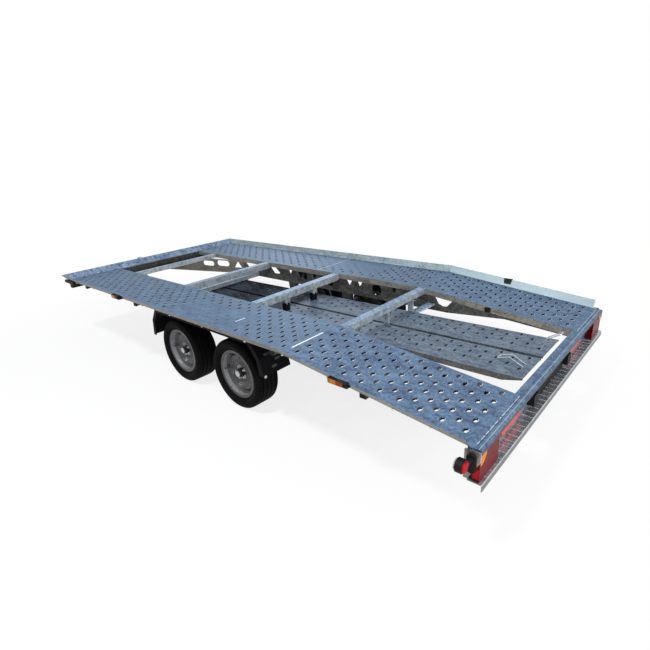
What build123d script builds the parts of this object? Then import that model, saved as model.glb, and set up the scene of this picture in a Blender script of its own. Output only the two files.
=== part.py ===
from build123d import *
import math
import os

# Tandem-axle car hauler trailer with two perforated running boards and a kinked deck.
# +X points to the coupling, +Y to the trailer's left side, +Z up, in millimetres.
# The origin is on the ground, under the middle of the trailer's bounding box.

os.makedirs("parts", exist_ok=True)

# Overall layout along the trailer
overall_length = 5700.0      # rear edge of the bumper step to the tip of the coupling
tail_x = -overall_length / 2
nose_x = overall_length / 2
tail_overhang = 50.0         # from the falling deck's rear edge back to the step's rear edge
slope_length = 1165.0        # falling deck, from the kink back to its rear edge
deck_rear_x = tail_x + tail_overhang
kink_x = deck_rear_x + slope_length
flat_length = 3170.0         # level deck, from the kink to the front fold
fold_x = kink_x + flat_length
deck_z = 640.0               # top of the level deck
rear_deck_z = 509.0          # top of the deck at its rear edge
deck_fall = (deck_z - rear_deck_z) / slope_length

# Running boards and their folded lips
sheet = 3.0
board_inner_y = 497.0
lip_fold_y = 1025.0
lip_top_y = 1065.0
lip_height = 48.0
front_lip_lean = 60.0
inner_flange = 45.0
lip_tail_gap = 25.0          # the side lips end a little before the deck does
lip_top_x = fold_x + front_lip_lean
lip_end_x = deck_rear_x + lip_tail_gap

# Staggered holes punched across the boards, closed to dimples above the wheels
hole_row_pitch = 57.3
hole_pitch_y = 100.0
hole_margin = 44.0           # from each board's right edge, as both boards are punched alike
hole_length = 40.0           # across the trailer
hole_width = 19.0
level_first_row = 57.0       # ahead of the kink
falling_first_row = 57.0     # behind it
row_edge = 40.0              # plain margin at the far end of each board
closed_front_x = kink_x + 1320.0
closed_rear_x = kink_x + 540.0
closed_inner_y = 665.0

# Longitudinal rails and the drawbar arms they turn into
rail_wall = 4.0
rail_flange = 45.0
rail_web_y = board_inner_y + sheet
rail_bottom_z = 465.0
rail_front_x = fold_x - 925.0
rail_step_x = kink_x - 250.0  # behind it the rail's foot rises towards the tail
rail_knee_x = kink_x - 0.6 * slope_length
rail_knee_z = 500.0
rail_tail_z = 462.0
coupling_reach = 155.0
arm_tip_x = nose_x - coupling_reach
arm_tip_y = 72.0
arm_tip_top_z = 450.0
arm_tip_bottom_z = 352.0

# Cross-members: centre behind or ahead of the kink, width along X, top and bottom height
beam_drop = sheet
beam_top_z = deck_z - beam_drop
cross_table = (
    # x from kink, width, top z, bottom z
    (2790.0, 46.0, beam_top_z, deck_z - inner_flange),
    (1835.0, 60.0, beam_top_z, 577.0),
    (875.0, 70.0, beam_top_z, 582.0),
)
low_tube = 40.0              # a square tube across, just over the stowed ramps
low_tube_x = kink_x + 2010.0
front_beam_depth = 80.0
front_beam_width = 52.0
kink_beam_width = 55.0
kink_beam_bottom_z = 590.0
rear_beam_front_x = deck_rear_x + 28.0
rear_beam_rear_x = deck_rear_x - 35.0
rear_ledge_z = 482.0         # under the beam's overhang above the lamps
rear_beam_bottom_z = 460.0

# Step, lamp panel and lamps across the tail
panel_x = deck_rear_x + 15.0
step_z = 345.0
step_lip_z = 310.0
tail_half_width = 1035.0
lamp_width = 202.0
lamp_depth = 46.0

# Loading ramps stowed between the rails, nose down towards the coupling
ramp_rear_x = rear_beam_front_x + 27.0
ramp_length = 3400.0
ramp_rear_z = 505.0
ramp_front_z = 465.0
ramp_inner_y = 15.0
ramp_width = 300.0
ramp_sheet = 4.0
ramp_flange = 38.0
ramp_end_flange = 11.0
ramp_taper_length = 110.0
ramp_row_pitch = 81.0
ramp_hole_pitch_y = 83.0
ramp_first_row = 54.0
ramp_first_column = 29.0     # from each ramp's right edge, as both ramps are alike
ramp_hole_length = 30.0
ramp_hole_width = 15.0
ramp_fall = (ramp_rear_z - ramp_front_z) / ramp_length

# Wheels and axles
axle_spacing = 715.0
axle_mid_x = kink_x + 993.0
axle_x = {"front": axle_mid_x + axle_spacing / 2, "rear": axle_mid_x - axle_spacing / 2}
tyre_radius = 262.5
tyre_width = 196.0
rim_flange_radius = 182.0
bead_radius = 165.0
rim_half_width = 76.0
rim_centre_y = 829.0
disc_offset = 26.0           # outboard side of the rim's centre line
disc_wall = 4.0
seat_gap = 0.3
beam_radius = 50.0
beam_lead_x = 130.0          # the axle tube lies ahead of the wheels
beam_axis_z = 335.0
arm_inner_y = 684.0
arm_width = 38.0
spindle_radius = 22.0
drum_radius = 115.0
drum_wall = 10.0
backplate_y = 745.0

# Mudguards over each pair of wheels
guard_inner_y = 705.0
guard_outer_y = 945.0
guard_wall = 4.0
guard_top_z = 590.0
guard_gap = 34.0             # from the tyre to the guard, front and rear

# Jockey wheel on the right drawbar arm
jockey_side = -1
jockey_x = arm_tip_x - 200.0
jockey_tube_radius = 30.0
jockey_inner_radius = 25.0
jockey_wheel_radius = 100.0
jockey_wheel_width = 50.0
jockey_trail = 26.0
jockey_tube_bottom_z = 232.0
jockey_tube_top_z = 548.0
jockey_fork_top_z = 222.0

# Coupling
coupling_z = 398.0
ball_radius = 25.0
socket_gap = 0.5


def save(piece, name):
    """Label one finished piece and write it to its own file."""
    piece.part.label = name
    export_step(piece.part, f"parts/{name}.step")


def deck_height(x):
    """Top of the deck's sheet at x, level ahead of the kink and falling behind it."""
    return deck_z if x >= kink_x else deck_z - deck_fall * (kink_x - x)


def under_deck(x):
    return deck_height(x) - sheet


def ramp_top(x):
    return ramp_rear_z - ramp_fall * (x - ramp_rear_x)


def staggered_holes(first, last, pitch, columns):
    """Hole centres (run, across): columns in every other row, half a step between them in the rest."""
    count = int((last - first) / pitch) + 1
    half_step = (columns[1] - columns[0]) / 2
    shifted = [y + half_step for y in columns[:-1]]
    return [(first + i * pitch, y) for i in range(count) for y in (shifted if i % 2 else columns)]


def hexagon(along, across):
    """Corners of a flat hexagonal hole about its centre, its points to the trailer's two sides."""
    return [(u * along / 2, v * across / 2)
            for u, v in ((0, -1), (1, -0.5), (1, 0.5), (0, 1), (-1, 0.5), (-1, -0.5))]


def arm_y(x):
    """Inner face of the drawbar arm's web at x."""
    run = (x - rail_front_x) / (arm_tip_x - rail_front_x)
    return rail_web_y + run * (arm_tip_y - rail_web_y)


SIDES = (("left", 1), ("right", -1))

# Folded sheet section shared by every running board: flange, deck and outward lip
board_section = (
    (board_inner_y, deck_z - inner_flange),
    (board_inner_y, deck_z),
    (lip_fold_y - 2, deck_z),
    (lip_top_y - sheet - 1, deck_z + lip_height),
    (lip_top_y, deck_z + lip_height),
    (lip_fold_y + 1, deck_z - sheet),
    (board_inner_y + sheet, deck_z - sheet),
    (board_inner_y + sheet, deck_z - inner_flange),
)
mitre_run = (lip_top_x - fold_x, lip_top_y - lip_fold_y)


def is_closed(x, y):
    """Whether the board has a closed dimple instead of a hole there."""
    return closed_rear_x < x < closed_front_x and abs(y) > closed_inner_y


for tag, side in SIDES:
    section = [(side * y, z) for y, z in board_section]
    right_edge = board_inner_y if side > 0 else -lip_fold_y
    columns = [right_edge + hole_margin + i * hole_pitch_y for i in range(5)]
    level_holes = staggered_holes(level_first_row, flat_length - row_edge, hole_row_pitch, columns)
    falling_holes = staggered_holes(falling_first_row, slope_length - row_edge, hole_row_pitch,
                                    columns)

    # Level board, mitred where its lip meets the front lip
    mitre_x = fold_x + 1.5 * mitre_run[0]
    mitre_y = side * (lip_fold_y + 1.5 * mitre_run[1])
    with BuildPart() as board:
        with BuildSketch(Plane.YZ.offset(kink_x)):
            Polygon(*section, align=None)
        extrude(amount=lip_top_x - kink_x)
        with BuildSketch(Plane.XY.offset(deck_z - inner_flange - 1)):
            Polygon((fold_x, 0), (fold_x, side * lip_fold_y), (mitre_x, mitre_y),
                    (nose_x, mitre_y), (nose_x, 0), align=None)
        extrude(amount=inner_flange + lip_height + 2, mode=Mode.SUBTRACT)
        with BuildSketch(Plane.XY.offset(deck_z - sheet)):
            with Locations((fold_x - front_beam_width / 2, side * board_inner_y)):
                Rectangle(front_beam_width, 3 * sheet)
        extrude(amount=-inner_flange, mode=Mode.SUBTRACT)
        with BuildSketch(Plane.XY.offset(deck_z - sheet - 1)):
            with Locations(*[(kink_x + run, y) for run, y in level_holes
                             if not is_closed(kink_x + run, y)]):
                Polygon(*hexagon(hole_width, hole_length), align=None)
        extrude(amount=sheet + 2, mode=Mode.SUBTRACT)
    save(board, f"board_level_{tag}")

    # Falling board, its section kept upright so that it meets the level one in the kink
    fall = Vector(-slope_length, 0, rear_deck_z - deck_z)
    with BuildPart() as board:
        with BuildSketch(Plane.YZ.offset(kink_x)):
            Polygon(*section, align=None)
        extrude(amount=fall.length, dir=fall.normalized())
        with BuildSketch(Plane.XZ):
            Polygon((deck_rear_x - 5, rear_deck_z + 1), (lip_end_x, deck_height(lip_end_x) + 1),
                    (lip_end_x, deck_z + lip_height),
                    (deck_rear_x - 5, deck_z + lip_height), align=None)
        extrude(amount=2 * lip_top_y, both=True, mode=Mode.SUBTRACT)
        with BuildSketch(Plane.XZ):
            Polygon((rear_beam_front_x, under_deck(rear_beam_front_x)),
                    (rear_beam_front_x, 0), (deck_rear_x - 5, 0),
                    (deck_rear_x - 5, under_deck(deck_rear_x - 5)), align=None)
        extrude(amount=2 * lip_top_y, both=True, mode=Mode.SUBTRACT)
        with BuildSketch(Plane.XY.offset(rear_deck_z - sheet - 1)):
            with Locations(*[(kink_x - run, y) for run, y in falling_holes]):
                Polygon(*hexagon(hole_width, hole_length), align=None)
        extrude(amount=deck_z - rear_deck_z + sheet + 2, mode=Mode.SUBTRACT)
    save(board, f"board_falling_{tag}")

# Front lip, leaning forward, with the flange that covers the front beam between the boards
lip_section = (
    (fold_x, deck_z), (lip_top_x - sheet - 1, deck_z + lip_height),
    (lip_top_x, deck_z + lip_height), (fold_x + 2, deck_z - sheet), (fold_x, deck_z - sheet),
)
with BuildPart() as front_lip:
    with BuildSketch(Plane.XZ):
        Polygon(*lip_section, align=None)
    extrude(amount=lip_top_y, both=True)
    for tag, side in SIDES:
        split(bisect_by=Plane(origin=(fold_x, side * lip_fold_y, deck_z),
                              x_dir=(mitre_run[0], side * mitre_run[1], 0),
                              z_dir=(mitre_run[1], -side * mitre_run[0], 0)), keep=Keep.TOP)
    with BuildSketch(Plane.XY.offset(deck_z - sheet)):
        with Locations((fold_x - front_beam_width / 2, 0)):
            Rectangle(front_beam_width, 2 * board_inner_y)
    extrude(amount=sheet)
save(front_lip, "front_lip")

# Rails: a web cut out between its two flanges, straight to where the drawbar arms start
rail_foot = (
    (rail_front_x, rail_bottom_z), (rail_step_x, rail_bottom_z),
    (rail_knee_x, rail_knee_z), (rear_beam_front_x, rail_tail_z),
)
rail_top = ((rear_beam_front_x, under_deck(rear_beam_front_x)), (kink_x, deck_z - sheet),
            (rail_front_x, deck_z - sheet))
cut_top_z = deck_z - inner_flange + 3   # just hidden by the boards' inner flanges
web_slot_table = (
    # x from kink, z of the middle, width, height: upright openings with a round foot
    (1285.0, 560.0, 56.0, 76.0),
    (960.0, 552.0, 84.0, 92.0),
    (420.0, 548.0, 96.0, 100.0),
    (60.0, 553.0, 80.0, 90.0),
)
web_triangle_table = (
    # x from kink of the point, half width of the flat top, z of the point
    (2107.0, 98.0, 506.0),
    (1489.0, 24.0, 560.0),
    (1346.0, 42.0, 528.0),
    (1158.0, 30.0, 545.0),
    (1045.0, 40.0, 540.0),
    (850.0, 26.0, 556.0),
    (720.0, 30.0, 552.0),
    (600.0, 24.0, 550.0),
    (240.0, 26.0, 552.0),
)
slant_slot = ((1790.0, cut_top_z), (1716.0, cut_top_z), (1652.0, 545.0), (1668.0, 532.0), (1735.0, 532.0))
round_foot = ((-143.0, 0.0), (-176.0, 52.0), (-214.0, 64.0), (-246.0, 56.0), (-292.0, 0.0))
for tag, side in SIDES:
    with BuildPart() as rail:
        with BuildSketch(Plane.XZ.offset(-side * rail_web_y)):
            Polygon(*rail_foot, *rail_top, align=None)
            for x, z, width, height in web_slot_table:
                with Locations((kink_x + x, z)):
                    RectangleRounded(width, height, 0.45 * width, mode=Mode.SUBTRACT)
            for x, half, point_z in web_triangle_table:
                Polygon((kink_x + x - half, cut_top_z), (kink_x + x + half, cut_top_z),
                        (kink_x + x + 4, point_z), (kink_x + x - 4, point_z), align=None,
                        mode=Mode.SUBTRACT)
            Polygon(*[(kink_x + x, z) for x, z in slant_slot], align=None, mode=Mode.SUBTRACT)
            Polygon(*[(kink_x + x, deck_height(kink_x + x) - inner_flange + 3 - drop)
                      for x, drop in round_foot], align=None, mode=Mode.SUBTRACT)
        extrude(amount=-side * rail_wall)
        with BuildSketch(Plane.XZ.offset(-side * (rail_web_y + rail_wall))):
            Polygon(*rail_foot, *[(x, z + rail_wall) for x, z in reversed(rail_foot)], align=None)
            Polygon(*rail_top, *[(x, z - rail_wall) for x, z in reversed(rail_top)], align=None)
        extrude(amount=-side * rail_flange)
    save(rail, f"rail_{tag}")

# Drawbar arms: the same channel, running in to the coupling and tapering towards it
arm_run = Vector(arm_tip_x - rail_front_x, arm_tip_y - rail_web_y, 0)
arm_length = arm_run.length
arm_scale = arm_length / (arm_tip_x - rail_front_x)


def along_arm(x):
    return (x - rail_front_x) * arm_scale


front_beam_bottom_z = deck_z - sheet - front_beam_depth
flange_lead = 12.0           # the skewed flanges reach this much further along X
arm_foot_x = fold_x + 0.2414 * (arm_tip_x - fold_x)
first_cross_x, first_cross_width, _, first_cross_z = cross_table[0]
arm_top = (
    (1.0, deck_z - inner_flange), (along_arm(rail_front_x + 250), deck_z - inner_flange),
    (along_arm(kink_x + first_cross_x - first_cross_width / 2 - flange_lead), first_cross_z),
    (along_arm(kink_x + first_cross_x + first_cross_width / 2), first_cross_z),
    (along_arm(fold_x - front_beam_width - flange_lead), front_beam_bottom_z),
    (along_arm(fold_x + flange_lead), front_beam_bottom_z), (arm_length, arm_tip_top_z),
)
arm_foot = (
    (arm_length, arm_tip_bottom_z), (along_arm(arm_foot_x), 425.0), (1.0, rail_bottom_z),
)
arm_slot_table = (
    # distance behind the front fold, z, slot length, slot height
    (394.0, 547.0, 170.0, 56.0),
    (620.0, 560.0, 182.0, 64.0),
)
arm_triangle = ((892.0, 527.0), (787.0, 524.0), (840.0, 600.0))
for tag, side in SIDES:
    arm_dir = Vector(arm_run.X, side * arm_run.Y, 0).normalized()
    outward = Vector(-arm_dir.Y, arm_dir.X, 0) * side
    web_plane = Plane(origin=(rail_front_x, side * rail_web_y, 0), x_dir=arm_dir,
                      z_dir=Vector(arm_dir.Y, -arm_dir.X, 0))
    flange_plane = web_plane.offset(-side * rail_wall)
    with BuildPart() as arm:
        with BuildSketch(web_plane):
            Polygon(*arm_top, *arm_foot, align=None)
            for back, z, length, height in arm_slot_table:
                with Locations((along_arm(fold_x - back), z)):
                    SlotOverall(length, height, mode=Mode.SUBTRACT)
            Polygon(*[(along_arm(fold_x - back), z) for back, z in arm_triangle], align=None,
                    mode=Mode.SUBTRACT)
        extrude(amount=-side * rail_wall)
        with BuildSketch(flange_plane):
            Polygon(*arm_top, *[(s, z - rail_wall) for s, z in reversed(arm_top)], align=None)
            Polygon(*arm_foot, *[(s, z + rail_wall) for s, z in reversed(arm_foot)], align=None)
        extrude(amount=-side * rail_flange)
    save(arm, f"drawbar_{tag}")

# Cross-members between the boards, as hollow box sections, with the open front channel
low_tube_z = ramp_top(low_tube_x - low_tube / 2) + seat_gap
with BuildPart() as cross_members:
    for x, width, top_z, bottom_z in cross_table:
        centre = (kink_x + x, (top_z + bottom_z) / 2)
        with BuildSketch(Plane.XZ):
            with Locations(centre):
                Rectangle(width, top_z - bottom_z)
                Rectangle(width - 2 * rail_wall, top_z - bottom_z - 2 * rail_wall,
                          mode=Mode.SUBTRACT)
        extrude(amount=board_inner_y, both=True)
    with BuildSketch(Plane.XZ):
        with Locations((low_tube_x, low_tube_z + low_tube / 2)):
            Rectangle(low_tube, low_tube)
            Rectangle(low_tube - 2 * rail_wall, low_tube - 2 * rail_wall, mode=Mode.SUBTRACT)
    extrude(amount=rail_web_y, both=True)
    with BuildSketch(Plane.XZ):
        with Locations((fold_x - front_beam_width / 2, beam_top_z - front_beam_depth / 2)):
            Rectangle(front_beam_width, front_beam_depth)
        with Locations((fold_x - front_beam_width / 2 - rail_wall,
                        beam_top_z - front_beam_depth / 2)):
            Rectangle(front_beam_width, front_beam_depth - 2 * rail_wall, mode=Mode.SUBTRACT)
    extrude(amount=lip_fold_y - 6, both=True)
save(cross_members, "cross_members")

# Beam under the kink, between the boards
with BuildPart() as kink_beam:
    with BuildSketch(Plane.XZ):
        Polygon((kink_x, kink_beam_bottom_z), (kink_x, beam_top_z),
                (kink_x - kink_beam_width, under_deck(kink_x - kink_beam_width)),
                (kink_x - kink_beam_width, kink_beam_bottom_z), align=None)
    extrude(amount=board_inner_y, both=True)
save(kink_beam, "kink_beam")

# Carriers that hold the stowed ramps: posts hang from a beam down to a lower tube
carrier_tube = 40.0
post_wide = 22.0
post_deep = 40.0
outer_post_y = ramp_inner_y + ramp_width + 4 + post_wide / 2
brace_foot_back, brace_foot_z = 55.0, 484.0     # braces run out and up from the kink's outer posts
brace_head_back, brace_head_z = 112.0, 514.0
carrier_table = (
    # x from kink, z of the beam above, y of the posts
    (-kink_beam_width / 2, kink_beam_bottom_z, (-outer_post_y, 0.0, outer_post_y)),
    (low_tube_x - kink_x, low_tube_z, (-outer_post_y, outer_post_y)),
)
with BuildPart() as ramp_carriers:
    for x, head_z, posts in carrier_table:
        centre_x = kink_x + x
        seat_z = ramp_top(centre_x + carrier_tube / 2) - ramp_flange - seat_gap
        with BuildSketch(Plane.XY.offset(seat_z - carrier_tube)):
            with Locations((centre_x, 0)):
                Rectangle(carrier_tube, 2 * outer_post_y + post_wide)
        extrude(amount=carrier_tube)
        with BuildSketch(Plane.XY.offset(seat_z)):
            with Locations(*[(centre_x, y) for y in posts]):
                Rectangle(post_deep, post_wide)
        extrude(amount=head_z - seat_z)
    for tag, side in SIDES:
        with BuildSketch(Plane.XZ.offset(-side * (outer_post_y + post_wide / 2))):
            with Locations((kink_x - brace_foot_back, brace_foot_z)):
                Rectangle(70, 12)
        with BuildSketch(Plane.XZ.offset(-side * rail_web_y)):
            with Locations((kink_x - brace_head_back, brace_head_z)):
                Rectangle(60, 12)
        loft()
save(ramp_carriers, "ramp_carriers")

# Rear beam, from the boards' ends to its overhang above the lamps
with BuildPart() as rear_beam:
    with BuildSketch(Plane.XZ):
        Polygon((rear_beam_front_x, rear_beam_bottom_z),
                (rear_beam_front_x, under_deck(rear_beam_front_x)),
                (deck_rear_x, under_deck(deck_rear_x)),
                (deck_rear_x, rear_deck_z), (rear_beam_rear_x + 4, rear_deck_z - 2),
                (rear_beam_rear_x, rear_deck_z - 8), (rear_beam_rear_x, rear_ledge_z),
                (panel_x, rear_ledge_z), (panel_x, rear_beam_bottom_z), align=None)
    extrude(amount=tail_half_width - 10, both=True)
save(rear_beam, "rear_beam")

# Lamp panel: from the rear beam down to the step and its rear lip, between two end plates
panel_wall = 4.0
end_plate = 9.0
end_plate_front_x = panel_x + 22.0
end_plate_foot_z = 350.0
end_plate_knee_z = 451.0
panel_section = (
    (panel_x + panel_wall, rear_beam_bottom_z), (panel_x, rear_beam_bottom_z), (panel_x, step_z),
    (tail_x + panel_wall, step_z), (tail_x, step_z - panel_wall), (tail_x, step_lip_z),
    (tail_x + panel_wall, step_lip_z), (tail_x + panel_wall, step_z - panel_wall),
    (panel_x + panel_wall, step_z - panel_wall),
)
end_plate_section = (
    (end_plate_front_x, rear_deck_z - 14), (rear_beam_rear_x, rear_deck_z - 8),
    (rear_beam_rear_x, end_plate_knee_z), (panel_x + panel_wall, end_plate_foot_z),
    (end_plate_front_x, end_plate_foot_z),
)
with BuildPart() as lamp_panel:
    with BuildSketch(Plane.XZ):
        Polygon(*panel_section, align=None)
    extrude(amount=tail_half_width, both=True)
    for tag, side in SIDES:
        with BuildSketch(Plane.XZ.offset(-side * (tail_half_width - end_plate))):
            Polygon(*end_plate_section, align=None)
        extrude(amount=-side * end_plate)
save(lamp_panel, "lamp_panel")

# Rear lamps, one housing on each side of the panel
with BuildPart() as rear_lamps:
    for tag, side in SIDES:
        with BuildSketch(Plane.YZ.offset(panel_x - lamp_depth)):
            with Locations((side * (tail_half_width - end_plate - seat_gap - lamp_width / 2),
                            (step_z + rear_ledge_z) / 2)):
                RectangleRounded(lamp_width, rear_ledge_z - step_z - 2 * seat_gap, 8)
        extrude(amount=lamp_depth)
save(rear_lamps, "rear_lamps")

# Number plate holder in the middle of the panel, with a lamp box at each end, and reflectors
plate_width, plate_height, plate_z = 530.0, 96.0, 400.0
plate_lamp_width = 70.0
with BuildPart() as plate_holder:
    with BuildSketch(Plane.YZ.offset(panel_x - 12)):
        with Locations((0, plate_z)):
            RectangleRounded(plate_width, plate_height, 8)
    extrude(amount=12)
    with BuildSketch(Plane.YZ.offset(panel_x - 38)):
        for side in (-1, 1):
            with Locations((side * (plate_width + plate_lamp_width) / 2, plate_z)):
                RectangleRounded(plate_lamp_width, 0.7 * plate_height, 10)
    extrude(amount=38)
save(plate_holder, "plate_holder")

reflector_y, reflector_z = 562.0, 385.0
reflector_length, reflector_height = 250.0, 36.0
with BuildPart() as reflectors:
    with BuildSketch(Plane.YZ.offset(panel_x - 8)):
        with Locations(*[(side * reflector_y, reflector_z) for side in (-1, 1)]):
            Rectangle(reflector_length, reflector_height)
    extrude(amount=8)
save(reflectors, "reflectors")

# Outline marker lamps: drums on rubber arms from oval bases on the end plates
marker_x = panel_x + 11.0
marker_y = 1100.0
marker_z = 458.0
marker_radius = 34.0
marker_half_depth = 27.0
marker_base_x, marker_base_z = panel_x - 6.0, 438.0
marker_base_height, marker_base_width, marker_base_wall = 100.0, 44.0, 9.0
with BuildPart() as outline_markers:
    for tag, side in SIDES:
        with BuildSketch(Plane.YZ.offset(marker_x - marker_half_depth)):
            with Locations((side * marker_y, marker_z)):
                Circle(marker_radius)
        extrude(amount=2 * marker_half_depth)
        with BuildSketch(Plane.XZ.offset(-side * tail_half_width)):
            with Locations((marker_base_x, marker_base_z)):
                SlotOverall(marker_base_height, marker_base_width, rotation=90)
        extrude(amount=-side * marker_base_wall)
        with BuildSketch(Plane.XZ.offset(-side * tail_half_width)):
            with Locations((marker_base_x, marker_z)):
                Circle(16)
        extrude(amount=-side * (marker_y - tail_half_width))
save(outline_markers, "outline_markers")

# Side marker lamps sit on the outer face of the boards' lips
side_marker_x = (1988.0, -467.0)
marker_length, marker_height, marker_reach, marker_foot = 125.0, 36.0, 22.0, 8.0
lip_slant = (lip_top_y - lip_fold_y - 1) / (lip_height + sheet)
with BuildPart() as side_markers:
    for tag, side in SIDES:
        for x in side_marker_x:
            front_x, rear_x = kink_x + x + marker_length / 2, kink_x + x - marker_length / 2
            along = Vector(rear_x - front_x, 0, under_deck(rear_x) - under_deck(front_x))
            foot_z = under_deck(front_x) + marker_foot
            foot_y = lip_fold_y + 1 + marker_foot * lip_slant + seat_gap
            head_y = foot_y + marker_height * lip_slant
            with BuildSketch(Plane.YZ.offset(front_x)):
                Polygon((side * foot_y, foot_z), (side * head_y, foot_z + marker_height),
                        (side * (head_y + marker_reach), foot_z + marker_height - 4),
                        (side * (foot_y + marker_reach), foot_z + 2), align=None)
            extrude(amount=along.length, dir=along.normalized())
save(side_markers, "side_markers")

# Outriggers: square tubes through the boards' inner flanges and out under their edges
outrigger_tube = 40.0
outrigger_x = (2790.0, 1800.0, 100.0, -571.0)
outrigger_end_y = 1002.0
with BuildPart() as outriggers:
    for tag, side in SIDES:
        for x in outrigger_x:
            low, high = kink_x + x - outrigger_tube / 2, kink_x + x + outrigger_tube / 2
            with BuildSketch(Plane.XZ.offset(-side * (rail_web_y + rail_wall + rail_flange))):
                Polygon((low, under_deck(low) - outrigger_tube), (high, under_deck(high) - outrigger_tube),
                        (high, under_deck(high)), (low, under_deck(low)), align=None)
            extrude(amount=-side * (outrigger_end_y - rail_web_y - rail_wall - rail_flange))
save(outriggers, "outriggers")

# Axles: a hexagonal tube with a trailing arm, spindle and backplate at each end
bracket_length = 110.0
for place, wheel_x in axle_x.items():
    beam_x = wheel_x + beam_lead_x
    with BuildPart() as axle:
        with BuildSketch(Plane.XZ):
            with Locations((beam_x, beam_axis_z)):
                RegularPolygon(beam_radius, 6)
        extrude(amount=arm_inner_y, both=True)
        for tag, side in SIDES:
            with BuildSketch(Plane.XZ.offset(-side * arm_inner_y)):
                with Locations((beam_x, beam_axis_z)):
                    Circle(46)
                with Locations((wheel_x, tyre_radius)):
                    Circle(34)
                make_hull()
            extrude(amount=-side * arm_width)
            with BuildSketch(Plane.XZ.offset(-side * (arm_inner_y + arm_width))):
                with Locations((wheel_x, tyre_radius)):
                    Circle(spindle_radius)
            extrude(amount=-side * (rim_centre_y - 10 - arm_inner_y - arm_width))
            with BuildSketch(Plane.XZ.offset(-side * backplate_y)):
                with Locations((wheel_x, tyre_radius)):
                    Circle(drum_radius - 3)
            extrude(amount=-side * 6)
            with BuildSketch(Plane.XZ.offset(-side * (rail_web_y + 4))):
                Polygon((beam_x - bracket_length / 2, rail_bottom_z),
                        (beam_x - beam_radius * 0.8, beam_axis_z + 10),
                        (beam_x + beam_radius * 0.8, beam_axis_z + 10),
                        (beam_x + bracket_length / 2, rail_bottom_z), align=None)
            extrude(amount=-side * 36)
    save(axle, f"axle_{place}")

# Wheels: rim, tyre and hub turned about the spindle's axis
def wheel_plane(wheel_x, side):
    """Section plane of one wheel: local x is the radius, local y runs outboard."""
    return Plane(origin=(wheel_x, side * rim_centre_y, tyre_radius), x_dir=(1, 0, 0),
                 z_dir=(0, 0, side))


rim_wall = 3.5
barrel_section = (
    (rim_flange_radius, -rim_half_width), (rim_flange_radius, -rim_half_width + 4),
    (bead_radius, -rim_half_width + 6), (bead_radius, -50), (150, -38), (150, 22),
    (bead_radius, 38), (bead_radius, rim_half_width - 6), (rim_flange_radius, rim_half_width - 4),
    (rim_flange_radius, rim_half_width), (bead_radius - rim_wall, rim_half_width - 2),
    (bead_radius - rim_wall, 41), (150 - rim_wall, 24), (150 - rim_wall, -40),
    (bead_radius - rim_wall, -53), (bead_radius - rim_wall, -rim_half_width + 2),
)
disc_section = (
    (31, disc_offset), (60, disc_offset), (78, disc_offset + 14), (100, disc_offset + 6),
    (130, disc_offset + 6), (150 - rim_wall, disc_offset - 10), (150 - rim_wall, disc_offset - 4),
    (131, disc_offset + 6 + disc_wall), (100, disc_offset + 6 + disc_wall),
    (77, disc_offset + 14 + disc_wall), (59, disc_offset + disc_wall), (31, disc_offset + disc_wall),
)
vent_count = 12
vent_radius = 9.0
vent_ring = 115.0
cap_radius = 28.0
for place, wheel_x in axle_x.items():
    for tag, side in SIDES:
        section_plane = wheel_plane(wheel_x, side)
        spin_axis = Axis((wheel_x, 0, tyre_radius), (0, 1, 0))
        with BuildPart() as rim:
            with BuildSketch(section_plane):
                Polygon(*barrel_section, align=None)
                Polygon(*disc_section, align=None)
            revolve(axis=spin_axis)
            with BuildSketch(Plane.XZ.offset(-side * (rim_centre_y + disc_offset - 10))):
                with Locations((wheel_x, tyre_radius)):
                    with PolarLocations(vent_ring, vent_count):
                        RegularPolygon(vent_radius, 8)
            extrude(amount=-side * 40, mode=Mode.SUBTRACT)
        save(rim, f"rim_{place}_{tag}")

        with BuildPart() as tyre:
            half = tyre_width / 2
            with BuildSketch(section_plane):
                outboard = [(bead_radius + seat_gap, 68), (rim_flange_radius + 2, 70),
                            (rim_flange_radius + 16, half - 9), (218, half), (238, half - 3),
                            (252, half - 11), (tyre_radius, half - 25)]
                Polygon(*outboard, *[(radius, -y) for radius, y in reversed(outboard)], align=None)
            revolve(axis=spin_axis)
        save(tyre, f"tyre_{place}_{tag}")

        drum_back = backplate_y + 9 - rim_centre_y
        with BuildPart() as hub:
            with BuildSketch(section_plane):
                Polygon((spindle_radius + seat_gap, drum_back + 30),
                        (spindle_radius + seat_gap, -8), (0, -8), (0, disc_offset + 44),
                        (cap_radius - 5, disc_offset + 44), (cap_radius, disc_offset + 38),
                        (cap_radius, disc_offset), (66, disc_offset), (70, disc_offset - 8),
                        (drum_radius, disc_offset - 14), (drum_radius, drum_back),
                        (drum_radius - drum_wall, drum_back),
                        (drum_radius - drum_wall, disc_offset - 26),
                        (46, disc_offset - 22), (46, drum_back + 30), align=None)
            revolve(axis=spin_axis)
        save(hub, f"hub_{place}_{tag}")

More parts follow.
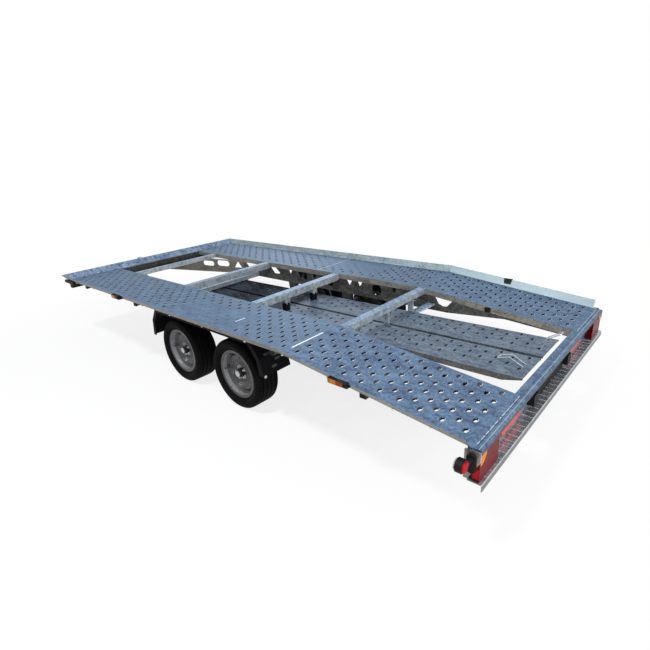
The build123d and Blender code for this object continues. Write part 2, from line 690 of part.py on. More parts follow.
# Mudguards: a bent shell over both wheels of a side with a shallow outer cheek
guard_front_x = axle_x["front"] + tyre_radius + guard_gap
guard_rear_x = axle_x["rear"] - tyre_radius - guard_gap
guard_path = (
    (guard_front_x + 44, 345.0), (guard_front_x + 22, 480.0), (guard_front_x - 55, guard_top_z),
    (guard_rear_x + 55, guard_top_z), (guard_rear_x - 30, 480.0), (guard_rear_x - 60, 360.0),
)
guard_inside = (
    (guard_front_x + 40, 345.0), (guard_front_x + 18, 479.0),
    (guard_front_x - 57, guard_top_z - guard_wall),
    (guard_rear_x + 57, guard_top_z - guard_wall), (guard_rear_x - 26, 479.0),
    (guard_rear_x - 56, 360.0),
)
guard_cheek = (
    (guard_front_x + 8, 345.0), (guard_front_x - 8, 470.0),
    (guard_front_x - 75, guard_top_z - 26), (guard_rear_x + 75, guard_top_z - 26),
    (guard_rear_x + 2, 470.0), (guard_rear_x - 18, 360.0),
)
with BuildPart() as mudguards:
    for tag, side in SIDES:
        with BuildSketch(Plane.XZ.offset(-side * guard_inner_y)):
            Polygon(*guard_path, *reversed(guard_inside), align=None)
        extrude(amount=-side * (guard_outer_y - guard_inner_y))
        with BuildSketch(Plane.XZ.offset(-side * (guard_outer_y - guard_wall))):
            Polygon(*guard_path, *reversed(guard_cheek), align=None)
        extrude(amount=-side * guard_wall)
        for x in (guard_front_x - 90, axle_mid_x, guard_rear_x + 90):
            with BuildSketch(Plane.XY.offset(guard_top_z)):
                with Locations((x, side * (guard_inner_y + 60))):
                    Rectangle(30, 60)
            extrude(amount=deck_z - sheet - guard_top_z)
save(mudguards, "mudguards")

# Loading ramps: perforated channels, flanges down, each with a wire handle at the rear
ramp_angle = math.degrees(math.asin(ramp_fall))
ramp_dir = Vector(math.cos(math.radians(ramp_angle)), 0, -math.sin(math.radians(ramp_angle)))
ramp_columns = [ramp_first_column + i * ramp_hole_pitch_y for i in range(3)]
ramp_holes = staggered_holes(ramp_first_row, ramp_length - ramp_first_row, ramp_row_pitch,
                             ramp_columns)
for tag, side in SIDES:
    ramp_side = Plane(origin=(ramp_rear_x, 0, ramp_rear_z), x_dir=ramp_dir, z_dir=(0, -1, 0))
    ramp_mid_y = side * (ramp_inner_y + ramp_width / 2)
    with BuildPart() as ramp:
        with BuildSketch(ramp_side.offset(-ramp_mid_y)):
            Polygon((0, 0), (ramp_length, 0), (ramp_length, -ramp_end_flange),
                    (ramp_length - ramp_taper_length, -ramp_flange),
                    (ramp_taper_length, -ramp_flange), (0, -ramp_end_flange), align=None)
        extrude(amount=ramp_width / 2, both=True)
        with BuildSketch(ramp_side.offset(-ramp_mid_y)):
            Polygon((-1, -ramp_sheet), (ramp_length + 1, -ramp_sheet),
                    (ramp_length + 1, -ramp_flange - 1), (-1, -ramp_flange - 1), align=None)
        extrude(amount=ramp_width / 2 - ramp_sheet, both=True, mode=Mode.SUBTRACT)
        with BuildSketch(Plane.XY.offset(ramp_front_z - ramp_sheet)):
            with Locations(*[(ramp_rear_x + run, ramp_mid_y - ramp_width / 2 + y)
                             for run, y in ramp_holes]):
                Polygon(*hexagon(ramp_hole_width, ramp_hole_length), align=None)
        extrude(amount=ramp_rear_z - ramp_front_z + 2 * ramp_sheet, mode=Mode.SUBTRACT)
    save(ramp, f"ramp_{tag}")

# A wire bail on each ramp near its rear end, the left one folded down, the right one half up
handle_table = (
    # side, x of the feet, run and rise from the feet to the knee, then to the grip
    (1, 41.0, (79.0, 42.0), (149.0, 20.0)),
    (-1, 44.0, (-17.0, 58.0), (-96.0, 108.0)),
)
handle_wire = 3.5
handle_span = 44.0
with BuildPart() as ramp_handles:
    for side, reach, knee, grip in handle_table:
        foot_x = ramp_rear_x + reach
        wire_dir = Vector(knee[0], 0, knee[1]).normalized()
        foot_z = ramp_top(foot_x) + handle_wire * abs(wire_dir.X) + seat_gap
        low_y = side * (ramp_inner_y + ramp_width / 2) - handle_span / 2
        run = [(foot_x, foot_z)] + [(foot_x + x, foot_z + z) for x, z in (knee, grip)]
        with BuildLine():
            FilletPolyline(*[(x, low_y, z) for x, z in run],
                           *[(x, low_y + handle_span, z) for x, z in reversed(run)], radius=12)
        with BuildSketch(Plane(origin=(foot_x, low_y, foot_z), x_dir=(0, 1, 0), z_dir=wire_dir)):
            RegularPolygon(handle_wire, 6, rotation=30)
        sweep()
save(ramp_handles, "ramp_handles")

# Clamps that hold the ramps down under the middle cross-member: a pad below, two ears behind
clamp_cross_x, clamp_cross_width, _, clamp_cross_z = cross_table[-1]
clamp_y = ramp_inner_y + ramp_width / 2
pad_width = 45.0
pad_x = kink_x + clamp_cross_x - 10.0
pad_bottom_z = ramp_top(pad_x - pad_width / 2) + seat_gap
with BuildPart() as ramp_pads:
    for tag, side in SIDES:
        with BuildSketch(Plane.XY.offset(pad_bottom_z)):
            with Locations((pad_x, side * clamp_y)):
                Rectangle(pad_width, pad_width)
        extrude(amount=clamp_cross_z - seat_gap - pad_bottom_z)
save(ramp_pads, "ramp_pads")

clamp_rear_x = kink_x + clamp_cross_x - clamp_cross_width / 2
ear_spacing, ear_reach, ear_wall = 60.0, 35.0, 5.0
ear_bottom_z, ear_top_z = 588.0, 650.0
ear_section = (
    (clamp_rear_x, ear_bottom_z), (clamp_rear_x, ear_top_z), (clamp_rear_x - 20, ear_top_z),
    (clamp_rear_x - ear_reach, ear_top_z - 12), (clamp_rear_x - ear_reach, ear_bottom_z + 24),
    (clamp_rear_x - 14, ear_bottom_z),
)
with BuildPart() as ramp_clamps:
    for tag, side in SIDES:
        with BuildSketch(Plane.YZ.offset(clamp_rear_x - ear_wall)):
            with Locations((side * clamp_y, (ear_bottom_z + beam_top_z) / 2)):
                Rectangle(ear_spacing, beam_top_z - ear_bottom_z)
        extrude(amount=ear_wall)
        for y in (clamp_y - ear_spacing / 2, clamp_y + ear_spacing / 2):
            with BuildSketch(Plane.XZ.offset(-side * y)):
                Polygon(*ear_section, align=None)
            extrude(amount=ear_wall / 2, both=True)
save(ramp_clamps, "ramp_clamps")

# Overrun device between the drawbar arms, its bellows and the ball coupling
housing_rear_x = arm_tip_x - 330.0
housing_half = arm_tip_y - 22.0
brake_rod_z = 345.0
socket_x = nose_x - 52.0
with BuildPart() as overrun_housing:
    with BuildSketch(Plane.XZ):
        Polygon((housing_rear_x, brake_rod_z - 12), (arm_tip_x + 6, arm_tip_bottom_z - rail_wall),
                (arm_tip_x + 6, coupling_z + 34), (housing_rear_x, coupling_z + 44), align=None)
    extrude(amount=housing_half - 8, both=True)
    with BuildSketch(Plane.XY.offset(arm_tip_bottom_z - rail_wall)):
        Polygon((arm_tip_x, -arm_tip_y - 40), (arm_tip_x, arm_tip_y + 40),
                (housing_rear_x + 110, arm_y(housing_rear_x + 110) + 30),
                (housing_rear_x + 110, -arm_y(housing_rear_x + 110) - 30), align=None)
    extrude(amount=rail_wall - seat_gap)
save(overrun_housing, "overrun_housing")

bellows_front_x = socket_x - 62
bellows_rib = 5
with BuildPart() as coupling_bellows:
    with BuildSketch(Plane.XZ):
        rib_pitch = (bellows_front_x - arm_tip_x - 6) / (2 * bellows_rib)
        outline = [(arm_tip_x + 6 + i * rib_pitch, coupling_z - 4 + (34 if i % 2 else 26))
                   for i in range(2 * bellows_rib + 1)]
        Polygon((arm_tip_x + 6, coupling_z - 4), *outline, (bellows_front_x, coupling_z - 4),
                align=None)
    revolve(axis=Axis((0, 0, coupling_z - 4), (1, 0, 0)))
save(coupling_bellows, "coupling_bellows")

with BuildPart() as coupling_head:
    with BuildSketch(Plane.XZ):
        with BuildLine():
            Polyline((bellows_front_x, coupling_z - 30), (bellows_front_x, coupling_z + 26),
                     (socket_x - 30, coupling_z + 36), (socket_x + 6, coupling_z + 38))
            ThreePointArc((socket_x + 6, coupling_z + 38), (socket_x + 42, coupling_z + 20),
                          (nose_x, coupling_z - 16))
            Polyline((nose_x, coupling_z - 16), (nose_x - 6, coupling_z - 26),
                     (socket_x - 30, coupling_z - 26), (bellows_front_x, coupling_z - 30))
        make_face()
    extrude(amount=40, both=True)
    with BuildSketch(Plane.XY.offset(coupling_z - 60)):
        with Locations((socket_x, 0)):
            Circle(ball_radius + socket_gap)
    extrude(amount=60, mode=Mode.SUBTRACT)
    with Locations((socket_x, 0, coupling_z)):
        Sphere(ball_radius + socket_gap, mode=Mode.SUBTRACT)
    with BuildSketch(Plane.XZ):
        Polygon((bellows_front_x + 10, coupling_z + 30), (bellows_front_x - 90, coupling_z + 44),
                (bellows_front_x - 90, coupling_z + 52), (socket_x - 10, coupling_z + 46),
                (socket_x - 10, coupling_z + 30), align=None)
    extrude(amount=14, both=True)
save(coupling_head, "coupling_head")

# Hand brake lever, laid down beside the overrun housing on its left
lever_pivot_x = arm_tip_x - 200.0
with BuildPart() as handbrake_lever:
    with BuildSketch(Plane.XZ.offset(8 - housing_half)):
        Polygon((lever_pivot_x + 24, coupling_z + 10), (lever_pivot_x + 24, coupling_z + 60),
                (lever_pivot_x - 40, coupling_z + 86), (lever_pivot_x - 380, coupling_z + 116),
                (lever_pivot_x - 380, coupling_z + 92), (lever_pivot_x - 60, coupling_z + 58),
                (lever_pivot_x - 20, coupling_z + 10), align=None)
    extrude(amount=-10)
save(handbrake_lever, "handbrake_lever")

# Brake rod from the overrun housing back to the front axle
with BuildPart() as brake_rod:
    with BuildSketch(Plane.YZ.offset(axle_x["front"] + beam_lead_x + beam_radius)):
        with Locations((0, brake_rod_z)):
            RegularPolygon(6, 8)
    extrude(amount=housing_rear_x - axle_x["front"] - beam_lead_x - beam_radius)
save(brake_rod, "brake_rod")

# Jockey wheel: clamp, outer tube and crank, with the inner tube, fork and wheel below
jockey_y = jockey_side * (arm_y(jockey_x) + rail_wall + rail_flange + jockey_tube_radius + 14)
clamp_bottom_z, clamp_top_z = 388.0, 448.0
with BuildPart() as jockey_tube:
    with BuildSketch(Plane.XY.offset(clamp_bottom_z)):
        with Locations((jockey_x, jockey_y)):
            Circle(jockey_tube_radius + 10)
        Polygon(*[(x, jockey_side * (arm_y(x) + rail_wall * arm_scale + seat_gap))
                  for x in (jockey_x - 25, jockey_x + 25)],
                (jockey_x + 25, jockey_y), (jockey_x - 25, jockey_y), align=None)
    extrude(amount=clamp_top_z - clamp_bottom_z)
    with BuildSketch(Plane.XY.offset(jockey_tube_bottom_z)):
        with Locations((jockey_x, jockey_y)):
            Circle(jockey_tube_radius)
    extrude(amount=jockey_tube_top_z - jockey_tube_bottom_z)
    with BuildSketch(Plane.XY.offset(jockey_tube_bottom_z)):
        with Locations((jockey_x, jockey_y)):
            Circle(jockey_inner_radius + seat_gap)
    extrude(amount=jockey_tube_top_z - jockey_tube_bottom_z - 8, mode=Mode.SUBTRACT)
    with BuildSketch(Plane.XY.offset(jockey_tube_top_z)):
        with Locations((jockey_x, jockey_y)):
            Circle(9)
    extrude(amount=20)
    with BuildSketch(Plane.XY.offset(jockey_tube_top_z + 12)):
        with Locations((jockey_x - 55, jockey_y)):
            Rectangle(126, 20)
    extrude(amount=8)
    with BuildSketch(Plane.XY.offset(jockey_tube_top_z - 60)):
        with Locations((jockey_x - 106, jockey_y)):
            Circle(11)
    extrude(amount=74)
save(jockey_tube, "jockey_tube")

with BuildPart() as jockey_inner:
    with BuildSketch(Plane.XY.offset(jockey_fork_top_z + seat_gap)):
        with Locations((jockey_x, jockey_y)):
            Circle(jockey_inner_radius)
    extrude(amount=jockey_tube_top_z - 30 - jockey_fork_top_z)
save(jockey_inner, "jockey_inner")

fork_gap = jockey_wheel_width / 2 + 6
with BuildPart() as jockey_fork:
    with BuildSketch(Plane.XY.offset(jockey_fork_top_z - 6)):
        with Locations((jockey_x - 5, jockey_y)):
            Rectangle(64, 2 * fork_gap + 10)
    extrude(amount=6)
    for side in (-1, 1):
        with BuildSketch(Plane.XZ.offset(-jockey_y - side * fork_gap)):
            Polygon((jockey_x - 37, jockey_fork_top_z), (jockey_x + 27, jockey_fork_top_z),
                    (jockey_x - jockey_trail + 20, jockey_wheel_radius - 20),
                    (jockey_x - jockey_trail - 20, jockey_wheel_radius - 20), align=None)
        extrude(amount=-side * 5)
    with BuildSketch(Plane.XZ.offset(-jockey_y)):
        with Locations((jockey_x - jockey_trail, jockey_wheel_radius)):
            Circle(8)
    extrude(amount=fork_gap + 8, both=True)
save(jockey_fork, "jockey_fork")

with BuildPart() as jockey_wheel:
    with BuildSketch(Plane(origin=(jockey_x - jockey_trail, jockey_y, jockey_wheel_radius),
                           x_dir=(1, 0, 0), z_dir=(0, 0, -1))):
        half = jockey_wheel_width / 2
        Polygon((8 + seat_gap, -half), (20, -half), (24, -8), (60, -8), (66, -half + 4),
                (86, -half), (jockey_wheel_radius, -half + 12), (jockey_wheel_radius, half - 12),
                (86, half), (66, half - 4), (60, 8), (24, 8), (20, half), (8 + seat_gap, half),
                align=None)
    revolve(axis=Axis((jockey_x - jockey_trail, jockey_y, jockey_wheel_radius), (0, 1, 0)))
save(jockey_wheel, "jockey_wheel")
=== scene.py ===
import math

import bpy
from mathutils import Matrix, Vector


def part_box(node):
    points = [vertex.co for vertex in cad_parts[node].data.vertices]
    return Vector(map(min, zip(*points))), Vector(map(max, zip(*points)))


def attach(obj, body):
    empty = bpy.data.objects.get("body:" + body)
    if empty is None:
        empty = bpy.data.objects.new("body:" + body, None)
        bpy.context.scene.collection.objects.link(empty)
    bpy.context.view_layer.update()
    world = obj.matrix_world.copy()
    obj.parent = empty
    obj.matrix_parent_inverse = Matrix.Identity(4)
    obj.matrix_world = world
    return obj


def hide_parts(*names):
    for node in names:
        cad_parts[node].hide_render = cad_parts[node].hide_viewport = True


# Looks of the car hauler trailer, in metres: materials for every CAD node, and the small forms
# that stay out of the CAD, such as flared hole rims, tyre tread, lenses, caps and bolt heads.

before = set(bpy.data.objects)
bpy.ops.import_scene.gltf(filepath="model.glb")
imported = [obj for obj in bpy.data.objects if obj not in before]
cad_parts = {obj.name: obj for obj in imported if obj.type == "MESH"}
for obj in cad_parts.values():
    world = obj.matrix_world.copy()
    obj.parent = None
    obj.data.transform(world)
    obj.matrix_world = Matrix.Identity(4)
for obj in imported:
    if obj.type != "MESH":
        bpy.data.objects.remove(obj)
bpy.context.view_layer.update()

scene = bpy.context.scene
scene.view_settings.view_transform = "Standard"

# Sizes of the CAD that its boxes don't give
FLANGE_DEPTH = 0.045  # inner flange of the boards, below the deck
LIP_LEAN = 0.060  # front lip, ahead of the fold at its foot
RAMP_LENGTH, RAMP_FALL = 3.4, 0.040
STEP_Z = 0.345

# Places taken from the frame
KINK_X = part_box("board_level_left")[0][0]
DECK_REAR_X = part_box("board_falling_left")[0][0]
DECK_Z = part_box("board_level_left")[0][2] + FLANGE_DEPTH
REAR_DECK_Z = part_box("rear_beam")[1][2]
FOLD_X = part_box("board_level_left")[1][0] - LIP_LEAN
DECK_FALL = (DECK_Z - REAR_DECK_Z) / (KINK_X - DECK_REAR_X)
RAMP_SLOPE = -RAMP_FALL / RAMP_LENGTH
SIDES = {"left": 1, "right": -1}
AXLES = ("front", "rear")


def deck_height(x):
    """Top of the deck at x, level ahead of the kink and falling behind it."""
    return DECK_Z - DECK_FALL * max(0.0, KINK_X - x)


# Materials

class Shader:
    """A procedural material: a Principled shader and the nodes that feed it."""

    def __init__(self, name, **sockets):
        self.material = bpy.data.materials.new(name)
        self.material.use_nodes = True
        self.tree = self.material.node_tree
        self.surface = self.tree.nodes["Principled BSDF"]
        coordinates = self.node("TexCoord").outputs
        self.place, self.normal = coordinates["Object"], coordinates["Normal"]
        for socket, value in sockets.items():
            self.surface.inputs[socket.replace("_", " ")].default_value = value

    def node(self, kind, links=(), **settings):
        """Add one node; settings are its properties, links its inputs by name or number."""
        made = self.tree.nodes.new("ShaderNode" + kind)
        for key, value in settings.items():
            setattr(made, key, value)
        for socket, value in dict(links).items():
            if hasattr(value, "is_output"):
                self.tree.links.new(value, made.inputs[socket])
            else:
                made.inputs[socket].default_value = value
        return made

    def noise(self, scale, detail=4.0, rough=0.55, stretch=None):
        """Noise from 0 to 1, drawn out along an axis whose stretch is below 1."""
        place = self.place
        if stretch:
            place = self.node("Mapping", {"Vector": place, "Scale": stretch}).outputs[0]
        made = self.node("TexNoise", {"Vector": place, "Scale": scale, "Detail": detail,
                                      "Roughness": rough})
        return made.outputs["Fac"]

    def spangle(self, scale):
        """Even grey per crystal of the zinc, with slightly wavy borders."""
        wobble = self.node("TexNoise", {"Vector": self.place, "Scale": 3 * scale})
        shift = self.node("VectorMath", {0: wobble.outputs["Color"], 1: (0.25 / scale,) * 3},
                          operation="MULTIPLY").outputs[0]
        place = self.node("VectorMath", {0: self.place, 1: shift}).outputs[0]
        cells = self.node("TexVoronoi", {"Vector": place, "Scale": scale})
        return self.node("RGBToBW", {0: cells.outputs["Color"]}).outputs[0]

    def ramp(self, value, *stops):
        """Colour ramp over (position, colour) stops; a plain number is a grey."""
        made = self.node("ValToRGB", {"Fac": value})
        band = made.color_ramp
        while len(band.elements) < len(stops):
            band.elements.new(1.0)
        for element, (position, colour) in zip(band.elements, stops):
            element.position = position
            grey = isinstance(colour, float)
            element.color = (colour,) * 3 + (1,) if grey else (*colour, 1)
        return made.outputs["Color"]

    def blend(self, factor, first, second):
        """Mix of two colours, which are inputs 6 and 7 of the node."""
        made = self.node("Mix", {0: factor, 6: first, 7: second}, data_type="RGBA")
        return made.outputs[2]

    def product(self, first, second):
        return self.node("Math", {0: first, 1: second}, operation="MULTIPLY").outputs[0]

    def rise(self, vector, axis, low, high):
        """Goes from 0 to 1 while one part of a vector goes from low to high."""
        parts = self.node("SeparateXYZ", {0: vector})
        return self.node("MapRange", {"Value": parts.outputs[axis], "From Min": low,
                                      "From Max": high}).outputs[0]

    def facing(self, axis="Z", low=0.25, high=0.6):
        """1 where the surface looks along an axis of the object, 0 where it looks aside."""
        return self.rise(self.normal, axis, low, high)

    def beyond(self, axis, low, high):
        """1 past the place high along an axis, 0 before the place low."""
        return self.rise(self.place, axis, low, high)

    def feed(self, socket, value):
        self.tree.links.new(value, self.surface.inputs[socket])

    def bump(self, height, depth, strength):
        """Relief of the given depth in metres."""
        made = self.node("Bump", {"Height": height, "Distance": depth, "Strength": strength})
        self.feed("Normal", made.outputs["Normal"])


def between(first, second):
    return tuple((a + b) / 2 for a, b in zip(first, second))


def galvanised(name, dark, pale, side=None, metallic=0.45, rough=(0.38, 0.6), scale=85.0,
               drawn=3.0, contrast=0.2, far=None, lean=None, upper=None):
    """Hot-dip zinc: crystals, cloudy patches and faint runs; side is the dark and pale colour where
    it doesn't look up, painted light and shade by which way a face looks, lean the colours of
    painted light where it leans, far a place along X and the colours of painted shade ahead of it,
    upper a height and the colours above it of sides that look to the rear, which take the place of
    the painted side shade there."""
    zinc = Shader(name, Metallic=metallic, Specular_Tint=(0.6, 0.7, 0.8, 1))
    crystals = zinc.spangle(scale)
    clouds = zinc.noise(7.0, detail=5.0, rough=0.62)
    runs = zinc.noise(26.0, rough=0.6, stretch=(1 / drawn, 1.0, 1.0))
    mottle = zinc.blend(0.5, zinc.blend(0.5, crystals, clouds), runs)
    low, high = 0.5 - contrast, 0.5 + contrast

    def tones(first, second):
        return zinc.ramp(mottle, (low, first), (0.5, between(first, second)), (high, second))

    colour = tones(dark, pale)
    # Faces that lean take painted light.
    if lean:
        colour = zinc.blend(zinc.facing("Z", 0.80, 0.92), tones(*lean), colour)
    # Faces that don't look up take the side colours, which paint the light and shade that such faces
    # get.
    if side:
        aside = tones(*side)
        if upper:
            height, upper_dark, upper_pale = upper
            above = zinc.product(zinc.beyond("Z", height, height + 0.002),
                                 zinc.facing("X", -0.4, -0.6))
            aside = zinc.blend(above, aside, tones(upper_dark, upper_pale))
        colour = zinc.blend(zinc.facing(), aside, colour)
    # Ahead of a place along X the colours are painted shade, with less sheen there.
    if far:
        start, far_dark, far_pale = far
        ahead = zinc.beyond("X", start, start + 0.05)
        colour = zinc.blend(ahead, colour, tones(far_dark, far_pale))
        zinc.feed("Specular IOR Level", zinc.ramp(ahead, (0.0, 0.5), (1.0, 0.08)))
    zinc.feed("Base Color", colour)
    zinc.feed("Roughness", zinc.ramp(mottle, (low, rough[0]), (high, rough[1])))
    zinc.bump(zinc.blend(0.5, runs, crystals), 0.0004, 0.4)
    return zinc.material


def coated(name, colour, rough, grain=260.0, dust=0.25, **sockets):
    """Paint or moulded plastic with a fine grain and a little dust in patches."""
    coat = Shader(name, **sockets)
    patches = coat.noise(9.0, detail=5.0, rough=0.6)
    dusty = tuple(c + dust * (0.16 - 0.5 * c) for c in colour)
    coat.feed("Base Color", coat.ramp(patches, (0.42, colour), (0.78, dusty)))
    coat.feed("Roughness", coat.ramp(patches, (0.35, rough), (0.75, min(1.0, rough + 0.22))))
    coat.bump(coat.noise(grain, detail=3.0, rough=0.5), 0.00012, 0.6)
    return coat.material


def lens(name, colour, ribs_along="Y"):
    """Moulded lamp lens: fine ribs and cloudy depth under a clear outer skin."""
    glass = Shader(name, Roughness=0.3, Coat_Weight=0.03, Coat_Roughness=0.12,
                   Specular_IOR_Level=0.06, Specular_Tint=(0.9, 0.5, 0.5, 1))
    ribs = glass.node("TexWave", {"Vector": glass.place, "Scale": 90.0, "Distortion": 1.5,
                                  "Detail": 2.0}, bands_direction=ribs_along).outputs["Fac"]
    deep = tuple(0.35 * c for c in colour)
    cloud = glass.blend(0.55, ribs, glass.noise(45.0))
    glass.feed("Base Color", glass.ramp(cloud, (0.25, deep), (0.75, colour)))
    glass.bump(ribs, 0.0006, 0.5)
    return glass.material


def reflective(name, colour):
    """Reflector with its honeycomb of small prisms."""
    plate = Shader(name, Roughness=0.25, Coat_Weight=0.3, Coat_Roughness=0.1)
    cells = plate.node("TexVoronoi", {"Vector": plate.place, "Scale": 320.0})
    depth = cells.outputs["Distance"]
    plate.feed("Base Color", plate.ramp(depth, (0.1, colour), (0.8, tuple(0.6 * c for c in colour))))
    plate.bump(depth, 0.0006, 0.5)
    return plate.material


def rubber():
    """Tyre rubber, a little dusty in patches."""
    tyre = Shader("tyre_rubber", Specular_IOR_Level=0.06)
    grey = tyre.noise(16.0, detail=6.0, rough=0.65)
    tyre.feed("Base Color", tyre.ramp(grey, (0.4, (0.0015, 0.0015, 0.0017)),
                                      (0.85, (0.006, 0.0055, 0.005))))
    tyre.feed("Roughness", tyre.ramp(grey, (0.3, 0.6), (0.8, 0.85)))
    tyre.bump(tyre.noise(420.0, detail=3.0), 0.0002, 0.5)
    return tyre.material


def wheel_paint():
    """Silver paint on pressed steel, with painted light: pale on the barrel, which looks aside, and
    painted shade on the disc, which looks along the axle.
    """
    paint = Shader("wheel_paint", Metallic=0.6)
    flakes = paint.noise(900.0, detail=2.0)
    dirt = paint.noise(14.0, detail=6.0, rough=0.65)
    # Faces that look along the axle take the dark disc colours, painted shade; faces that look aside
    # take the pale barrel colours, painted light.
    aside = paint.node("SeparateXYZ", {0: paint.normal}).outputs["Y"]
    aside = paint.node("Math", {0: aside}, operation="ABSOLUTE").outputs[0]
    disc = paint.ramp(flakes, (0.3, (0.042, 0.042, 0.044)), (0.7, (0.078, 0.077, 0.08)))
    barrel = paint.ramp(flakes, (0.3, (0.34, 0.35, 0.37)), (0.7, (0.56, 0.57, 0.59)))
    steel = paint.blend(paint.ramp(aside, (0.12, 0.0), (0.3, 1.0)), barrel, disc)
    paint.feed("Base Color", paint.blend(paint.ramp(dirt, (0.55, 0.0), (0.85, 0.55)), steel,
                                         (0.05, 0.045, 0.04, 1)))
    paint.feed("Roughness", paint.ramp(dirt, (0.4, 0.28), (0.8, 0.5)))
    paint.bump(dirt, 0.0002, 0.3)
    return paint.material


# Pairs of a dark and a pale colour
SIDE_SHADE = ((0.155, 0.145, 0.125), (0.31, 0.29, 0.25))  # painted shade and reflected ground: tan-grey of zinc faces that look aside
BEAM_SIDE_LIGHT = ((0.25, 0.30, 0.33), (0.56, 0.62, 0.66))  # painted light: pale grey of the beams' sides, lighter than their tops
UNDER_DECK_SHADE = ((0.026, 0.027, 0.026), (0.105, 0.105, 0.098))  # painted shade of the zinc under the deck
LEAN_LIGHT = ((0.14, 0.19, 0.21), (0.30, 0.37, 0.40))  # painted light: paler grey on the leaning inner faces of the boards' lips

# The boards' faces that look aside take painted shade, and their lips' leaning faces painted light.
DECK_ZINC = galvanised("deck_zinc", (0.042, 0.083, 0.150), (0.132, 0.215, 0.325), SIDE_SHADE,
                       contrast=0.13, lean=LEAN_LIGHT)
SLOPE_ZINC = galvanised("slope_zinc", (0.046, 0.086, 0.165), (0.158, 0.250, 0.372), SIDE_SHADE,
                        contrast=0.13, drawn=6.0, lean=LEAN_LIGHT)
LIP_ZINC = galvanised("lip_zinc", (0.05, 0.10, 0.20), (0.28, 0.37, 0.50), scale=130.0,
                      contrast=0.11)
# The ramps' flanges take painted shade, and ahead of KINK_X + 0.88 the ramps are painted in deep
# shade with little sheen.
RAMP_ZINC = galvanised("ramp_zinc", (0.052, 0.080, 0.128), (0.200, 0.252, 0.312),
                       ((0.045, 0.045, 0.044), (0.125, 0.122, 0.115)), contrast=0.13,
                       far=(KINK_X + 0.88, (0.001, 0.0015, 0.004), (0.004, 0.0055, 0.011)))
# The beams' sides are painted lighter than their tops as painted light, and ahead of FOLD_X - 0.12
# they are painted in tan shade under the front lip.
BEAM_ZINC = galvanised("beam_zinc", (0.11, 0.18, 0.28), (0.38, 0.50, 0.64), BEAM_SIDE_LIGHT, contrast=0.14,
                       far=(FOLD_X - 0.12, (0.05, 0.047, 0.04), (0.16, 0.15, 0.13)))
# The rear beam's sides are painted darker: painted shade.
TAIL_ZINC = galvanised("tail_zinc", (0.045, 0.09, 0.165), (0.175, 0.27, 0.385),
                       ((0.03, 0.045, 0.06), (0.10, 0.13, 0.17)), contrast=0.14)
# Rails and outriggers are dark all over: painted shade under the deck.
RAIL_ZINC = galvanised("rail_zinc", *UNDER_DECK_SHADE, UNDER_DECK_SHADE, contrast=0.14, scale=60.0)
# The drawbar's sides take a darker tan: painted shade.
ARM_ZINC = galvanised("arm_zinc", (0.13, 0.14, 0.14), (0.30, 0.31, 0.30),
                      ((0.09, 0.082, 0.062), (0.21, 0.195, 0.155)))
# The step's sides take the painted tan shade, except its rear faces above STEP_Z, which take
# blue-grey zinc.
STEP_ZINC = galvanised("step_zinc", (0.38, 0.39, 0.405), (0.70, 0.71, 0.72), SIDE_SHADE,
                       rough=(0.24, 0.36), metallic=0.8,
                       upper=(STEP_Z, (0.27, 0.35, 0.43), (0.56, 0.63, 0.70)))
# Dark zinc as painted shade about the holes, nearly black on the collars' walls.
RIM_ZINC = galvanised("rim_zinc", (0.012, 0.020, 0.036), (0.045, 0.065, 0.10),
                      ((0.004, 0.004, 0.005), (0.016, 0.016, 0.015)), scale=400.0, contrast=0.14)
# Paler zinc as painted highlights on the rear beam's folds and on the ramp holes' rear edges.
HIGHLIGHT_ZINC = galvanised("highlight_zinc", (0.15, 0.24, 0.35), (0.36, 0.48, 0.60), scale=200.0)
# Dark zinc as painted shade in the dimples' slits.
SLIT_SHADE_ZINC = galvanised("slit_shade_zinc", (0.02, 0.037, 0.075), (0.06, 0.095, 0.16), scale=400.0)
# Pale zinc for the boards' painted glints and the kink's painted highlight, and for the step's ribs
# and the welds.
PALE_ZINC = galvanised("pale_zinc", (0.55, 0.63, 0.70), (0.93, 0.96, 0.98), metallic=0.15,
                       scale=300.0)
BRIGHT_ZINC = galvanised("bright_zinc", (0.36, 0.40, 0.42), (0.72, 0.76, 0.78), rough=(0.25, 0.45),
                         metallic=0.7, scale=260.0)
CAP_STEEL = galvanised("cap_steel", (0.34, 0.345, 0.34), (0.52, 0.52, 0.51), metallic=0.15,
                       scale=300.0)
BLACK_PAINT = coated("black_paint", (0.009, 0.009, 0.010), 0.5, dust=0.12, Metallic=0.1)
DRUM_PAINT = coated("drum_paint", (0.012, 0.012, 0.014), 0.5, dust=0.1, Metallic=0.2)
BLACK_PLASTIC = coated("black_plastic", (0.005, 0.005, 0.006), 0.5, grain=140.0, dust=0.04,
                       Specular_IOR_Level=0.15)
GUARD_PLASTIC = coated("guard_plastic", (0.003, 0.003, 0.004), 0.55, grain=220.0, dust=0.01,
                       Specular_IOR_Level=0.08)
GREY_PLASTIC = coated("grey_plastic", (0.03, 0.03, 0.032), 0.5, grain=220.0, dust=0.1)
BLACK_RUBBER = coated("black_rubber", (0.012, 0.012, 0.013), 0.6, grain=420.0)
TYRE_RUBBER = rubber()
WHEEL_PAINT = wheel_paint()
RED_LENS = lens("red_lens", (0.20, 0.003, 0.004))
SIDE_RED_LENS = lens("side_red_lens", (0.55, 0.01, 0.02), ribs_along="Z")
AMBER_LENS = lens("amber_lens", (0.95, 0.31, 0.012))
DARK_AMBER_LENS = lens("dark_amber_lens", (0.34, 0.055, 0.006), ribs_along="X")
CLEAR_LENS = lens("clear_lens", (0.6, 0.62, 0.64))
RED_REFLECTOR = reflective("red_reflector", (1.0, 0.07, 0.04))


def on_both_sides(kind):
    return tuple(f"{kind}_{tag}" for tag in SIDES)


